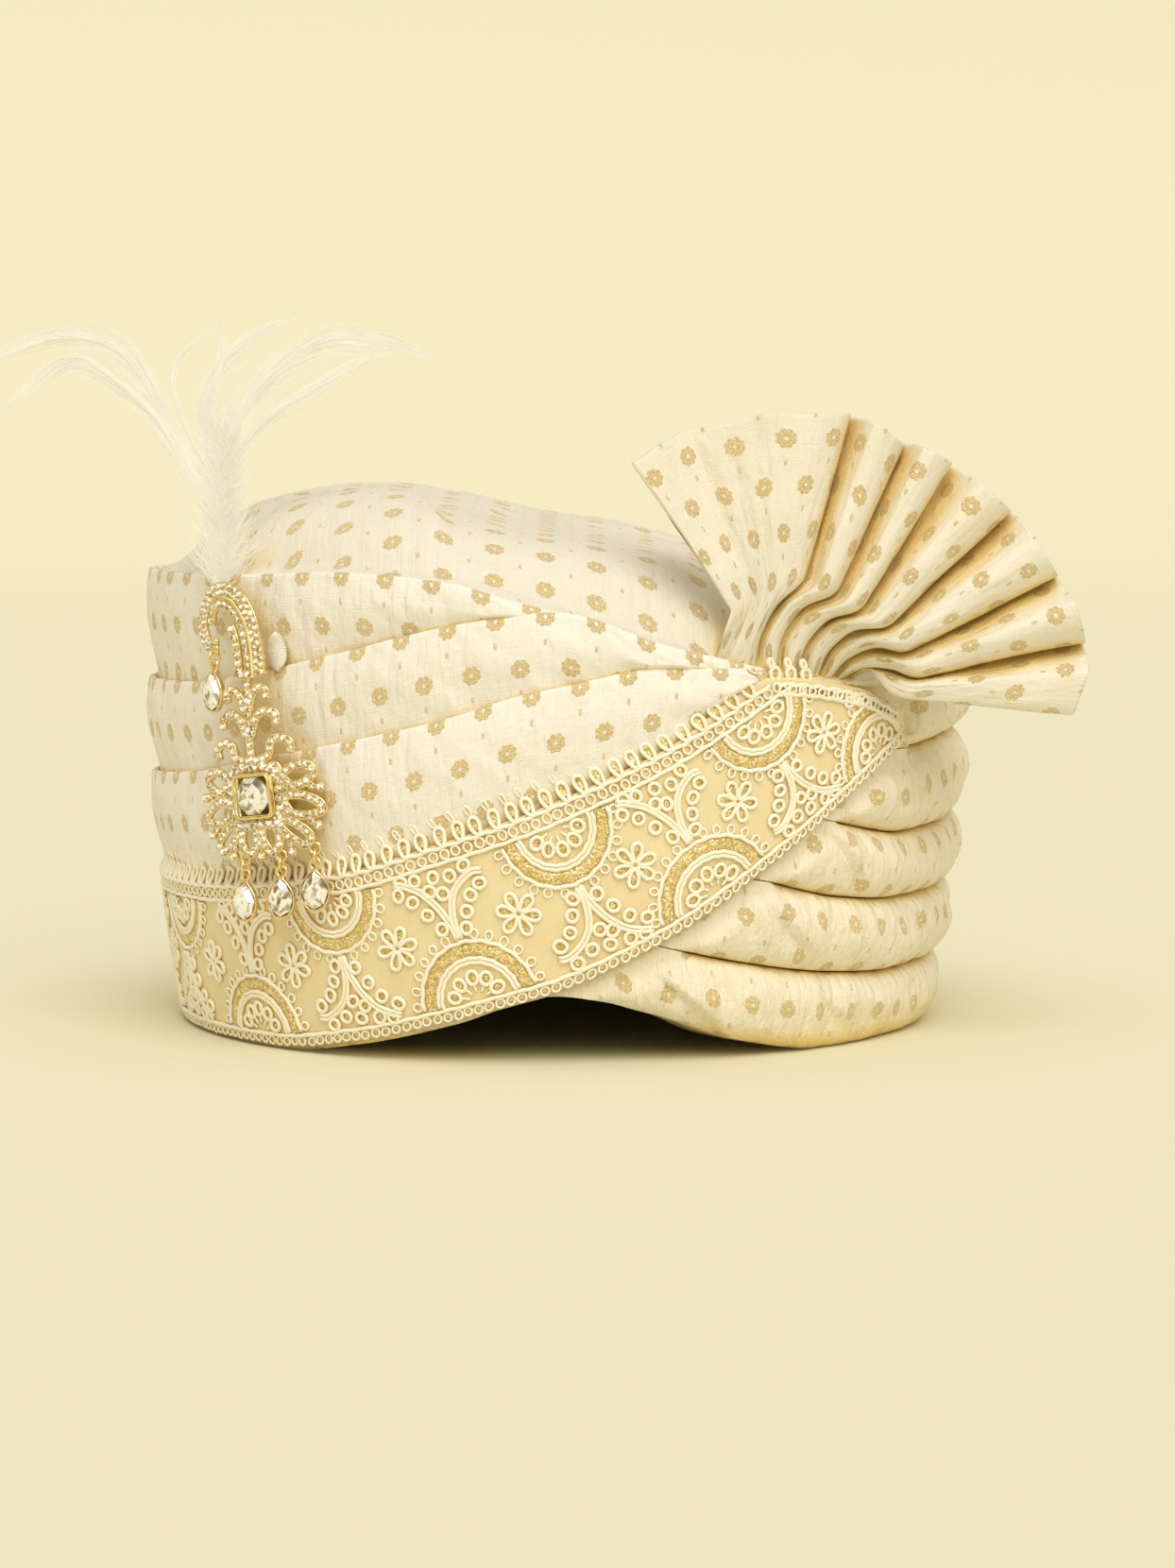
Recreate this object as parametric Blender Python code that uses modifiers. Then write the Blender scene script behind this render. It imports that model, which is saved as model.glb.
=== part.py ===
"""A tied turban (pagri): five padded rolls wound into a ring, three lapped cloth wraps and an
embroidered border over its left and front, a draped crown, a pleated fan, and a jewelled brooch
with four drops and a feather plume.

Units are metres, +Z up. The photographed side faces -Y and the brooch is on its left, towards -X.
The origin is the centre of the head opening, on the plane that the rim rests on. Azimuths are
degrees round the head, 0 towards -Y and 90 towards +X. A depth is measured inwards from the
envelope, the smooth surface that just holds the wound body.
"""

import bisect
import math

import bmesh
import bpy
from mathutils import Matrix, Vector

# Head opening and wound body.
HEAD_HALF_WIDTH = 0.080
HEAD_HALF_DEPTH = 0.098
BODY_HALF_WIDTH = 0.1253
RIM_HALF_WIDTH = 0.1145
BODY_EXTRA_DEPTH = 0.012
FLARE_HEIGHT = 0.100
BODY_HEIGHT = 0.140
CLEARANCE = 0.0003

# Padded rolls.
GROOVE_DEPTH = 0.008
TOP_ROUNDING = 0.006
RIM_ROUNDING = 0.007

# Lapped wraps and border. The rolls lie back under them, by LAP_BED and HEM_BED, and come out
# again over COVER_FADE beyond COVER_MARGIN. WRAP_FACE is the depth of a wrap's outer face.
WRAP_THICKNESS = 0.0022
BORDER_THICKNESS = 0.0018
LAP = 0.0060
LAP_BED = 0.0055
HEM_BED = 0.0026
HEM_LIFT = 0.0001
COVER_MARGIN = 0.0055
COVER_FADE = 0.0060
WRAP_FACE = LAP_BED - 2 * (WRAP_THICKNESS + CLEARANCE)

# Crown cloth.
CROWN_THICKNESS = 0.0020
CROWN_INSET = 0.0090
CROWN_RISE = 0.0230
CROWN_FULLNESS = 7

# Pleated fan.
FAN_REACH = 0.080
FAN_KNEE = 0.030
FAN_PLEAT_DEPTH = 0.0085
FAN_GATHER_DEPTH = 0.0012
FAN_THICKNESS = 0.0018
FAN_FORWARD = 0.0078
FAN_LEAN = 0.10
FAN_TURN = 18.0
FAN_SEAT_DEPTH = 0.0060
FAN_START = 22.5
FAN_END = 45.0

# Brooch, in its own flat frame: s to the right, t up and n outwards from the back.
BROOCH_LENGTH = 0.081
BROOCH_AZIMUTH = -36.0
BROOCH_HEIGHT = 0.0760
BROOCH_WALL_AZIMUTH = -41.4
BROOCH_STANDOFF = 0.0062
BROOCH_BEND_RADIUS = 0.065
BROOCH_LEAN = 7.5
PLATE_THICKNESS = 0.0014
SMALL_STONE_RADIUS = 0.0014
HALO_STONE_RADIUS = 0.0015
HALO_OVERLAP = 0.0003
STONE_HEIGHT = 0.0013
STONE_SPACING = 0.0012
RIBBON_MARGIN = 0.0003
BEZEL_WIDTH = 0.0125
BEZEL_LIP = 0.0010
BEZEL_HEIGHT = 0.0030
CENTRE_STONE_WIDTH = 0.0100
CENTRE_STONE_HEIGHT = 0.0034
DROP_LENGTH = 0.0125
DROP_WIDTH = 0.0072
DROP_THICKNESS = 0.0040
RING_RADIUS = 0.0022
RING_WIRE = 0.00035
EYE_RADIUS = 0.0016
EYE_WIRE = 0.0005
PIN_RADIUS = 0.0008
PIN_LENGTH = 0.018
RIB_STEP = 0.0050
STALK_WIDTH = 0.0018
STONE_SINK = 0.0002
PLATE_MIDDLE = Vector((0.0, 0.0, PLATE_THICKNESS / 2))
PAD_SIZE = (0.0075, 0.0042, 0.0115)
PAD_AZIMUTH = -40.0
PAD_HEIGHT = 0.1175
PAD_BED_SHARE = 0.30  # of the upper wrap's rise, from its lap to its head
PAD_LEAN = 14.0

# Plume.
PLUME_HEIGHT = 0.078
PLUME_BASE_AZIMUTH = -50.0
QUILL_RADIUS = 0.0012
QUILL_LENGTH = 0.016
QUILL_RISE = 0.003
PLUME_FLUFF = (0.0090, 0.0050, 0.0150)

# Heights round the body, as shares of BODY_HEIGHT, by azimuth.
WALL_COLUMNS = ("azimuth", "rim", "edge_1", "edge_2", "edge_3", "edge_4", "top")
WALL_TABLE = (
    (-180, 0.000, 0.19, 0.37, 0.55, 0.73, 0.900),
    (-150, 0.000, 0.19, 0.37, 0.55, 0.74, 0.925),
    (-120, 0.000, 0.19, 0.38, 0.57, 0.76, 0.950),
    (-90, 0.000, 0.19, 0.38, 0.58, 0.78, 0.970),
    (-60, 0.000, 0.19, 0.38, 0.58, 0.79, 0.980),
    (-45, 0.000, 0.20, 0.39, 0.59, 0.80, 0.988),
    (-30, 0.028, 0.22, 0.41, 0.60, 0.81, 1.000),
    (-15, 0.080, 0.27, 0.45, 0.63, 0.82, 0.985),
    (0, 0.144, 0.32, 0.47, 0.63, 0.79, 0.925),
    (15, 0.097, 0.243, 0.41, 0.57, 0.71, 0.855),
    (30, 0.031, 0.193, 0.37, 0.52, 0.66, 0.800),
    (45, 0.000, 0.160, 0.32, 0.474, 0.63, 0.775),
    (60, 0.000, 0.145, 0.30, 0.44, 0.62, 0.775),
    (75, 0.000, 0.145, 0.30, 0.44, 0.63, 0.780),
    (90, 0.000, 0.150, 0.31, 0.46, 0.64, 0.790),
    (120, 0.000, 0.17, 0.33, 0.50, 0.67, 0.820),
    (150, 0.000, 0.18, 0.35, 0.53, 0.70, 0.865),
)

# Edges of the wraps and of the border, as shares of BODY_HEIGHT, by azimuth. Each wrap starts
# a lap below the top of the strip under it.
WRAP_COLUMNS = ("azimuth", "border_low", "border", "low", "middle", "upper")
WRAP_TABLE = (
    (-170, 0.120, 0.180, 0.310, 0.440, 0.570),
    (-160, 0.040, 0.250, 0.370, 0.520, 0.680),
    (-150, 0.012, 0.295, 0.440, 0.600, 0.780),
    (-140, 0.006, 0.312, 0.490, 0.670, 0.870),
    (-130, 0.006, 0.318, 0.512, 0.710, 0.935),
    (-120, 0.006, 0.320, 0.520, 0.720, 0.950),
    (-90, 0.006, 0.320, 0.530, 0.735, 0.970),
    (-60, 0.006, 0.330, 0.562, 0.752, 0.980),
    (-45, 0.006, 0.350, 0.605, 0.785, 0.988),
    (-30, 0.035, 0.385, 0.650, 0.835, 1.000),
    (-15, 0.088, 0.457, 0.705, 0.893, 0.985),
    (-5, 0.130, 0.510, 0.755, 0.920, 0.945),
    (0, 0.152, 0.542, 0.772, 0.925, 0.925),
    (15, 0.257, 0.645, 0.812, 0.855, 0.850),
    (30, 0.405, 0.765, 0.799, 0.800, 0.795),
    (45, 0.560, 0.740, 0.740, 0.740, 0.740),
    (55, 0.650, 0.700, 0.700, 0.700, 0.700),
)
WRAP_STARTS = {"border": -170, "low": -160, "middle": -150, "upper": -140}
WRAP_ENDS = {"border": 55, "low": 30, "middle": 20, "upper": -5}
STRIP_BELOW = {"low": "border", "middle": "low", "upper": "middle"}

# Heights of the crown's ridge above the body, as shares of CROWN_RISE, by side position
# as a share of BODY_HALF_WIDTH.
RIDGE_COLUMNS = ("across", "rise")
RIDGE_TABLE = (
    (-1.00, 0.10), (-0.86, 0.70), (-0.70, 0.93), (-0.45, 1.00), (-0.25, 0.86),
    (-0.10, 0.62), (0.10, 0.42), (0.30, 0.20), (0.50, -0.30), (0.75, -0.85), (1.00, -1.15),
)

# Fold lines of the fan from its left edge to its lower edge: tip angle, tip reach, knee angle,
# knee reach, place along the gather, and fold. Angles are in degrees above +X, reaches are
# shares of FAN_REACH and FAN_KNEE, and a fold is a share of FAN_PLEAT_DEPTH, forward positive.
FAN_TABLE = (
    (126.0, 0.94, 128.0, 0.80, 0.00, 0.1),
    (112.0, 0.96, 114.0, 0.82, 0.08, -0.5),
    (95.0, 0.94, 98.0, 0.85, 0.17, 0.6),
    (77.0, 0.95, 81.0, 0.90, 0.26, -0.8),
    (70.0, 0.97, 70.0, 0.92, 0.34, 0.8),
    (63.0, 0.93, 59.0, 0.90, 0.42, -0.8),
    (57.5, 0.95, 50.0, 0.90, 0.50, 0.8),
    (51.5, 0.96, 41.0, 0.93, 0.58, -0.8),
    (44.0, 0.99, 33.0, 0.98, 0.66, 0.9),
    (36.0, 1.01, 25.0, 1.06, 0.73, -1.0),
    (28.0, 1.03, 17.0, 1.10, 0.79, 0.9),
    (19.5, 1.05, 10.0, 1.14, 0.85, -1.0),
    (13.0, 1.08, 4.0, 1.18, 0.91, 0.9),
    (6.0, 1.10, -2.0, 1.24, 0.96, -0.8),
    (0.0, 1.10, -6.0, 1.20, 1.00, 0.9),
    (-8.5, 1.06, -11.0, 1.12, 1.04, 0.3),
)

# Ribs of the brooch: points along each in hundredths of BROOCH_LENGTH, its half width as a
# share of SMALL_STONE_RADIUS, and whether it is mirrored, closed and carries a row of stones.
RIB_TABLE = (
    (((8, 43), (8, 50), (7.5, 57), (6, 64), (2.5, 70), (-2.5, 74), (-8.5, 75), (-14, 73),
      (-18, 67), (-18.5, 61), (-15, 57), (-10, 56)), 1.0, False, False, True),
    (((2, 42), (2.5, 50), (2, 57), (0, 63), (-4, 68), (-9, 69.5), (-13, 67), (-13.5, 62.5)),
     0.9, False, False, False),
    (((-3.5, 43), (-3, 50), (-3, 57), (-4.5, 63)), 0.9, False, False, False),
    (((0, 9), (0, 20), (0.5, 31), (1, 38), (2, 43), (6, 44.5)), 0.9, False, False, False),
    (((-4, 44.5), (1, 43)), 0.9, False, False, False),
    (((1, 30), (3, 35.5), (6.5, 38.5), (9.5, 36.5), (9, 34)), 0.8, True, False, False),
    (((1, 21), (3.5, 27), (8, 30), (12.5, 28), (12.5, 24.5)), 0.85, True, False, False),
    (((1, 12), (7.5, 14), (9, 18.5), (13, 20), (17, 17.5), (16.5, 14)), 0.85, True, False, False),
    (((12.5, 6), (17, 9.5), (22, 9.5), (24.5, 6.5), (21, 3.5), (16, 2.5)), 0.8, True, True, False),
    (((12, -1.5), (18, -1), (24, -3.5), (26.5, -7), (21, -8.5), (14, -7)), 0.8, True, True, False),
    (((10.5, -9), (16, -11.5), (20.5, -16), (18, -19), (13, -16), (9.5, -12)),
     0.8, True, True, False),
    (((2, -10.5), (1.5, -16), (4.5, -20.5), (8, -18), (8, -13), (5.5, -10)),
     0.8, True, True, False),
)

# Stalks with a stone at the tip: root and tip in hundredths of BROOCH_LENGTH, the stone's
# radius as a share of SMALL_STONE_RADIUS, and whether it is mirrored.
STALK_TABLE = (
    ((20, 2), (26.5, 1.0), 1.05, True),
    ((19, -9), (24, -12.5), 1.05, True),
    ((12, -15), (13, -21), 0.95, True),
    ((0, -12), (0, -21.5), 0.95, False),
    ((2, 42), (1, 37), 1.05, False),
)

# Eyes that hold the drops: name, and s and t in hundredths of BROOCH_LENGTH.
EYE_TABLE = (("left", -8, -22), ("middle", 8, -22), ("right", 21.5, -20.5), ("hook", -14.5, 53.5))

# Locks of the plume: sideways and backward reach, height of the tip, droop after the bend and
# width, as shares of PLUME_HEIGHT.
LOCK_TABLE = (
    (-0.92, 0.05, 0.98, 0.34, 0.09), (-0.62, -0.12, 0.92, 0.30, 0.08),
    (-0.30, 0.16, 0.98, 0.06, 0.09), (-0.02, 0.05, 1.00, 0.00, 0.09),
    (0.26, -0.05, 0.98, 0.04, 0.08), (0.60, 0.14, 0.94, 0.12, 0.09),
    (0.80, -0.02, 0.90, 0.04, 0.08), (0.42, 0.22, 0.74, 0.06, 0.08),
)

COLLECTION = "pagri"
CLOTH_COLOUR = (0.83, 0.76, 0.58, 1.0)
BORDER_COLOUR = (0.78, 0.68, 0.42, 1.0)
GOLD_COLOUR = (0.83, 0.62, 0.24, 1.0)
STONE_COLOUR = (0.93, 0.92, 0.88, 1.0)
FEATHER_COLOUR = (0.90, 0.87, 0.76, 1.0)
THREAD_COLOUR = (0.88, 0.84, 0.74, 1.0)


# Tables and curves

def column(table, columns, name):
    """One named column of a table, as a list."""
    index = columns.index(name)
    return [row[index] for row in table]


def smooth_through(xs, ys, x, period=0.0):
    """The value at x of a smooth curve through the points, with no overshoot at a level row."""
    if period:
        xs = [xs[-1] - period] + list(xs) + [xs[0] + period, xs[1] + period]
        ys = [ys[-1]] + list(ys) + [ys[0], ys[1]]
        while x < xs[1]:
            x += period
        while x >= xs[-2]:
            x -= period
    x = min(max(x, xs[0]), xs[-1])
    i = min(max(bisect.bisect_right(xs, x) - 1, 0), len(xs) - 2)

    def slope(k):
        if k <= 0 or k >= len(xs) - 1:
            return 0.0
        before = (ys[k] - ys[k - 1]) / (xs[k] - xs[k - 1])
        after = (ys[k + 1] - ys[k]) / (xs[k + 1] - xs[k])
        if before * after <= 0:
            return 0.0
        return 2 * before * after / (before + after)

    span = xs[i + 1] - xs[i]
    u = (x - xs[i]) / span
    start, end = slope(i) * span, slope(i + 1) * span
    return (
        (2 * u**3 - 3 * u**2 + 1) * ys[i]
        + (u**3 - 2 * u**2 + u) * start
        + (3 * u**2 - 2 * u**3) * ys[i + 1]
        + (u**3 - u**2) * end
    )


def wall(name, azimuth):
    """A height of the body at an azimuth, in metres."""
    xs = column(WALL_TABLE, WALL_COLUMNS, "azimuth")
    return BODY_HEIGHT * smooth_through(xs, column(WALL_TABLE, WALL_COLUMNS, name), azimuth, 360.0)


def strip_edges(name, azimuth):
    """Heights of the lower and upper edges of a wrap or of the border, in metres."""
    xs = column(WRAP_TABLE, WRAP_COLUMNS, "azimuth")

    def height(edge):
        ys = column(WRAP_TABLE, WRAP_COLUMNS, edge)
        return BODY_HEIGHT * smooth_through(xs, ys, azimuth)

    if name == "border":
        return height("border_low"), height("border")
    return height(STRIP_BELOW[name]) - LAP, height(name)


def smoothstep(u):
    u = min(max(u, 0.0), 1.0)
    return u * u * (3 - 2 * u)


def through(points, count, closed=False):
    """Points at even steps along a Catmull-Rom curve through the points."""
    points = [Vector(p) for p in points]
    n = len(points)
    fine = []
    steps = 12
    for i in range(n if closed else n - 1):
        if closed:
            a, b, c, d = (points[(i + k) % n] for k in (-1, 0, 1, 2))
        else:
            b, c = points[i], points[i + 1]
            a = points[i - 1] if i else b + (b - c)
            d = points[i + 2] if i + 2 < n else c + (c - b)
        for k in range(steps):
            u = k / steps
            fine.append(0.5 * (2 * b + (c - a) * u + (2 * a - 5 * b + 4 * c - d) * u**2
                               + (3 * b - a - 3 * c + d) * u**3))
    fine.append(points[0] if closed else points[-1])
    lengths = [0.0]
    for p, q in zip(fine, fine[1:]):
        lengths.append(lengths[-1] + (q - p).length)
    result = []
    for k in range(count):
        at = lengths[-1] * k / (count if closed else max(count - 1, 1))
        j = min(max(bisect.bisect_right(lengths, at) - 1, 0), len(fine) - 2)
        gap = lengths[j + 1] - lengths[j]
        result.append(fine[j].lerp(fine[j + 1], (at - lengths[j]) / gap if gap else 0.0))
    return result, lengths[-1]


# The body's envelope

def half_width(z):
    low = 1 - min(max(z, 0.0), FLARE_HEIGHT) / FLARE_HEIGHT
    return BODY_HALF_WIDTH - (BODY_HALF_WIDTH - RIM_HALF_WIDTH) * low * low


def on_body(azimuth, z, depth=0.0):
    """A point at a depth under the envelope."""
    angle = math.radians(azimuth)
    a = half_width(z) - depth
    return Vector((a * math.sin(angle), -(a + BODY_EXTRA_DEPTH) * math.cos(angle), z))


def onto_body(point, depth):
    """The place at a depth under the envelope that lies level with a point and inwards of it."""
    a = half_width(point.z)
    azimuth = math.atan2(point.x / a, -point.y / (a + BODY_EXTRA_DEPTH))
    return on_body(math.degrees(azimuth), point.z, depth)


def on_opening(azimuth, z):
    """A point on the wall of the head opening."""
    angle = math.radians(azimuth)
    return Vector((HEAD_HALF_WIDTH * math.sin(angle), -HEAD_HALF_DEPTH * math.cos(angle), z))


def stations():
    """Azimuths of the body's sections, closer where the border crosses the rolls."""
    coarse, fine = 10, 5
    return (list(range(-180, -10, coarse)) + list(range(-10, 60, fine))
            + list(range(60, 180, coarse)))


def cover(azimuth, z):
    """How far the wraps cover the rolls at a place: 1 under them, 0 well clear of them."""
    found = 0.0
    angle_room = math.degrees(COVER_MARGIN / BODY_HALF_WIDTH)
    angle_fade = math.degrees(COVER_FADE / BODY_HALF_WIDTH)
    for name, end in WRAP_ENDS.items():
        beyond = max(WRAP_STARTS[name] - azimuth, azimuth - end, 0.0)
        along = 1 - smoothstep((beyond - angle_room) / angle_fade)
        if along <= 0.0:
            continue
        low, high = strip_edges(name, azimuth)
        outside = max(low - COVER_MARGIN - z, z - high - COVER_MARGIN, 0.0)
        found = max(found, along * (1 - smoothstep(outside / COVER_FADE)))
    return found


def bed(azimuth, z):
    """Depth of the rolls' face under the wraps."""
    low, top = strip_edges("border", azimuth)
    reach = max(top - LAP - COVER_FADE / 2 - low, HEM_BED / 4)
    share = min(max((z - low) / reach, 0.0), 1.0)
    return HEM_BED + (LAP_BED - HEM_BED) * share


# Mesh helpers

def material(name, colour, roughness, metallic=0.0):
    made = bpy.data.materials.new(name)
    made.use_nodes = True
    shader = made.node_tree.nodes["Principled BSDF"]
    shader.inputs["Base Color"].default_value = colour
    shader.inputs["Roughness"].default_value = roughness
    shader.inputs["Metallic"].default_value = metallic
    made.diffuse_color = colour
    return made


def add_object(name, mesh, finish, collection):
    obj = bpy.data.objects.new(name, mesh)
    collection.objects.link(obj)
    if finish:
        obj.data.materials.append(finish)
    return obj


def mesh_from(bm, name):
    """A mesh of the closed shape, with its faces turned outwards."""
    bm.normal_update()
    if bm.calc_volume(signed=True) < 0:
        bmesh.ops.reverse_faces(bm, faces=bm.faces)
    mesh = bpy.data.meshes.new(name)
    bm.to_mesh(mesh)
    bm.free()
    return mesh


def loft(sections, name, closed=False, matched=False):
    """A solid through sections of equally many points, closed into a loop or capped. matched
    splits its sides along their shorter diagonals, so that faces that lie together agree."""
    bm = bmesh.new()
    rings = [[bm.verts.new(p) for p in section] for section in sections]
    size = len(rings[0])
    count = len(rings)
    for i in range(count if closed else count - 1):
        first, second = rings[i], rings[(i + 1) % count]
        for j in range(size):
            k = (j + 1) % size
            bm.faces.new((first[j], first[k], second[k], second[j]))
    if matched:
        bmesh.ops.triangulate(bm, faces=bm.faces, quad_method="SHORT_EDGE")
    if not closed:
        bm.faces.new(list(reversed(rings[0])))
        bm.faces.new(rings[-1])
    return mesh_from(bm, name)


def joined(name, meshes, finish, collection):
    """One body from overlapping closed meshes, joined by a Boolean union."""
    tools = bpy.data.collections.new(name + "_union")
    for i, mesh in enumerate(meshes[1:]):
        tools.objects.link(bpy.data.objects.new(f"{name}_union_{i}", mesh))
    base = add_object(name + "_base", meshes[0], None, collection)
    if len(meshes) > 1:
        union = base.modifiers.new("union", "BOOLEAN")
        union.operation = "UNION"
        union.operand_type = "COLLECTION"
        union.collection = tools
        union.solver = "EXACT"
    graph = bpy.context.evaluated_depsgraph_get()
    mesh = bpy.data.meshes.new_from_object(base.evaluated_get(graph))
    bpy.data.objects.remove(base)
    for obj in list(tools.objects):
        bpy.data.objects.remove(obj)
    bpy.data.collections.remove(tools)
    bm = bmesh.new()
    bm.from_mesh(mesh)
    bmesh.ops.remove_doubles(bm, verts=bm.verts, dist=1e-6)
    bm.to_mesh(mesh)
    bm.free()
    return add_object(name, mesh, finish, collection)


# Rolls

def roll_section(azimuth, low, top, level):
    """Section of a roll: its inner wall, then its padded face from the top edge down."""
    profile = ((1.0, 1.0), (0.86, 0.30), (0.50, 0.04), (0.14, 0.30), (0.0, 1.0))
    points = [on_opening(azimuth, low), on_opening(azimuth, top)]
    for share, groove in profile:
        z = low + (top - low) * share
        depth = GROOVE_DEPTH
        if level == "top" and share > 0.5:
            depth = TOP_ROUNDING
        if level == "rim" and share < 0.5:
            depth = RIM_ROUNDING
        covered = cover(azimuth, z)
        under = bed(azimuth, z) + (CLEARANCE if groove == 1.0 else 0.0)
        points.append(on_body(azimuth, z, groove * depth * (1 - covered) + under * covered))
    return points


def make_rolls(finish, collection):
    """Five rings, from the rim upwards, that meet with a clearance."""
    edges = ("rim", "edge_1", "edge_2", "edge_3", "edge_4", "top")
    for i in range(5):
        level = {0: "rim", 4: "top"}.get(i, "between")
        sections = []
        for azimuth in stations():
            low = wall(edges[i], azimuth) + (CLEARANCE if i else 0.0)
            top = wall(edges[i + 1], azimuth)
            sections.append(roll_section(azimuth, low, top, level))
        name = f"roll_{i + 1}"
        obj = add_object(name, loft(sections, name, closed=True, matched=True), finish,
                         collection)
        obj.data.set_sharp_from_angle(angle=math.radians(50))


# Wraps and border

def wrap_section(azimuth, low, top, foot, head, thickness, lap):
    """Section of a strip. foot and head are the depths of its inner face at its lower and
    upper edges. It stays at the foot's depth over its lap, and then rises to the head's."""
    height = top - low
    lift = smoothstep((height - lap) / LAP)
    head = foot + (head - foot) * lift
    lap_top = low + min(lap, 0.6 * height) if lap else low + 0.3 * height
    rise_top = max(top - LAP, lap_top + 0.3 * (top - lap_top))
    rise_start = foot if lap else foot + (head - foot) * 0.3
    return [
        on_body(azimuth, low, foot),
        on_body(azimuth, lap_top, rise_start),
        on_body(azimuth, rise_top, head),
        on_body(azimuth, top, head),
        on_body(azimuth, top, head - thickness),
        on_body(azimuth, rise_top, head - thickness),
        on_body(azimuth, lap_top, rise_start - thickness),
        on_body(azimuth, low, foot - thickness),
    ]


def make_wraps(finish, border_finish, collection):
    """Three wraps and the border. Each lies over the lower edge of the one above."""
    foot = LAP_BED - CLEARANCE
    head = foot - WRAP_THICKNESS - CLEARANCE
    hem = HEM_LIFT + BORDER_THICKNESS
    pieces = (
        ("upper_wrap", "upper", foot, WRAP_THICKNESS, LAP, finish),
        ("middle_wrap", "middle", foot, WRAP_THICKNESS, LAP, finish),
        ("low_wrap", "low", foot, WRAP_THICKNESS, LAP, finish),
        ("border", "border", hem, BORDER_THICKNESS, 0.0, border_finish),
    )
    for name, edge, inner_foot, thickness, lap, look in pieces:
        sections = [
            wrap_section(a, *strip_edges(edge, a), inner_foot, head, thickness, lap)
            for a in stations() if WRAP_STARTS[edge] <= a <= WRAP_ENDS[edge]
        ]
        obj = add_object(name, loft(sections, name, matched=True), look, collection)
        obj.data.set_sharp_from_angle(angle=math.radians(50))


# Crown

def crown_height(azimuth, share):
    """Height of the crown's outer face at a share of the way out from its middle."""
    rim = wall("top", azimuth) + CLEARANCE + CROWN_THICKNESS
    across = on_body(azimuth, BODY_HEIGHT, CROWN_INSET).x * share / BODY_HALF_WIDTH
    xs = column(RIDGE_TABLE, RIDGE_COLUMNS, "across")
    rise = smooth_through(xs, column(RIDGE_TABLE, RIDGE_COLUMNS, "rise"), across)
    ridge = BODY_HEIGHT + CROWN_RISE * rise
    weight = share**CROWN_FULLNESS
    return ridge * (1 - weight) + rim * weight


def make_crown(finish, collection):
    """An open dome of cloth with its edge on the top roll, thickened inwards."""
    shares = (1.0, 0.96, 0.88, 0.72, 0.42)
    azimuths = [a for a in stations() if a % 10 == 0]
    bm = bmesh.new()
    rings = []
    for share in shares:
        ring = []
        for azimuth in azimuths:
            edge = on_body(azimuth, BODY_HEIGHT, CROWN_INSET)
            ring.append(bm.verts.new((edge.x * share, edge.y * share, crown_height(azimuth, share))))
        rings.append(ring)
    peak = bm.verts.new((0.0, 0.0, crown_height(0.0, 0.0)))
    count = len(azimuths)
    for outer, inner in zip(rings, rings[1:]):
        for i in range(count):
            k = (i + 1) % count
            bm.faces.new((outer[i], outer[k], inner[k], inner[i]))
    for i in range(count):
        bm.faces.new((rings[-1][i], rings[-1][(i + 1) % count], peak))
    bm.normal_update()
    if peak.normal.z < 0:
        bmesh.ops.reverse_faces(bm, faces=bm.faces)
    mesh = bpy.data.meshes.new("crown")
    bm.to_mesh(mesh)
    bm.free()
    obj = add_object("crown", mesh, finish, collection)
    shell = obj.modifiers.new("cloth", "SOLIDIFY")
    shell.thickness = CROWN_THICKNESS
    shell.offset = -1.0
    obj.data.set_sharp_from_angle(angle=math.radians(50))


# Fan

def fan_gather_point(share, fold):
    """A point where the fan is gathered, on top of the rolls."""
    azimuth = FAN_START + (FAN_END - FAN_START) * share
    point = on_body(azimuth, BODY_HEIGHT, FAN_SEAT_DEPTH)
    point.z = wall("top", azimuth) + CLEARANCE
    point.y -= fold * FAN_GATHER_DEPTH
    return point


def fan_line(row):
    """Points along one fold line, from the gather to the outer edge, at the sheet's middle."""
    tip_angle, tip_reach, knee_angle, knee_reach, gather, fold = row
    centre = fan_gather_point(0.5, 0.0)
    base = fan_gather_point(gather, fold)

    def face(angle, reach, depth):
        x = centre.x + reach * math.cos(math.radians(angle))
        z = centre.z + reach * math.sin(math.radians(angle))
        back = FAN_LEAN * (z - centre.z) + (x - centre.x) * math.tan(math.radians(FAN_TURN))
        return Vector((x, centre.y - FAN_FORWARD + back - depth, z))

    knee = face(knee_angle, knee_reach * FAN_KNEE, fold * FAN_PLEAT_DEPTH * 0.45)
    tip = face(tip_angle, tip_reach * FAN_REACH, fold * FAN_PLEAT_DEPTH)
    neck = base.lerp(knee, 0.35)
    neck.z = max(neck.z, base.z + 0.0035)
    return [base, neck, knee, knee.lerp(tip, 0.45), tip]


def make_fan(finish, collection):
    """A pleated sheet. Every section runs across the fold lines, front then back."""
    lines = [fan_line(row) for row in FAN_TABLE]
    half = Vector((0.0, FAN_THICKNESS / 2, 0.0))
    sections = []
    for k in range(len(lines[0])):
        across = [line[k] for line in lines]
        sections.append([p - half for p in across] + [p + half for p in reversed(across)])
    obj = add_object("fan", loft(sections, "fan"), finish, collection)
    obj.data.set_sharp_from_angle(angle=math.radians(40))


# Brooch

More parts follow.
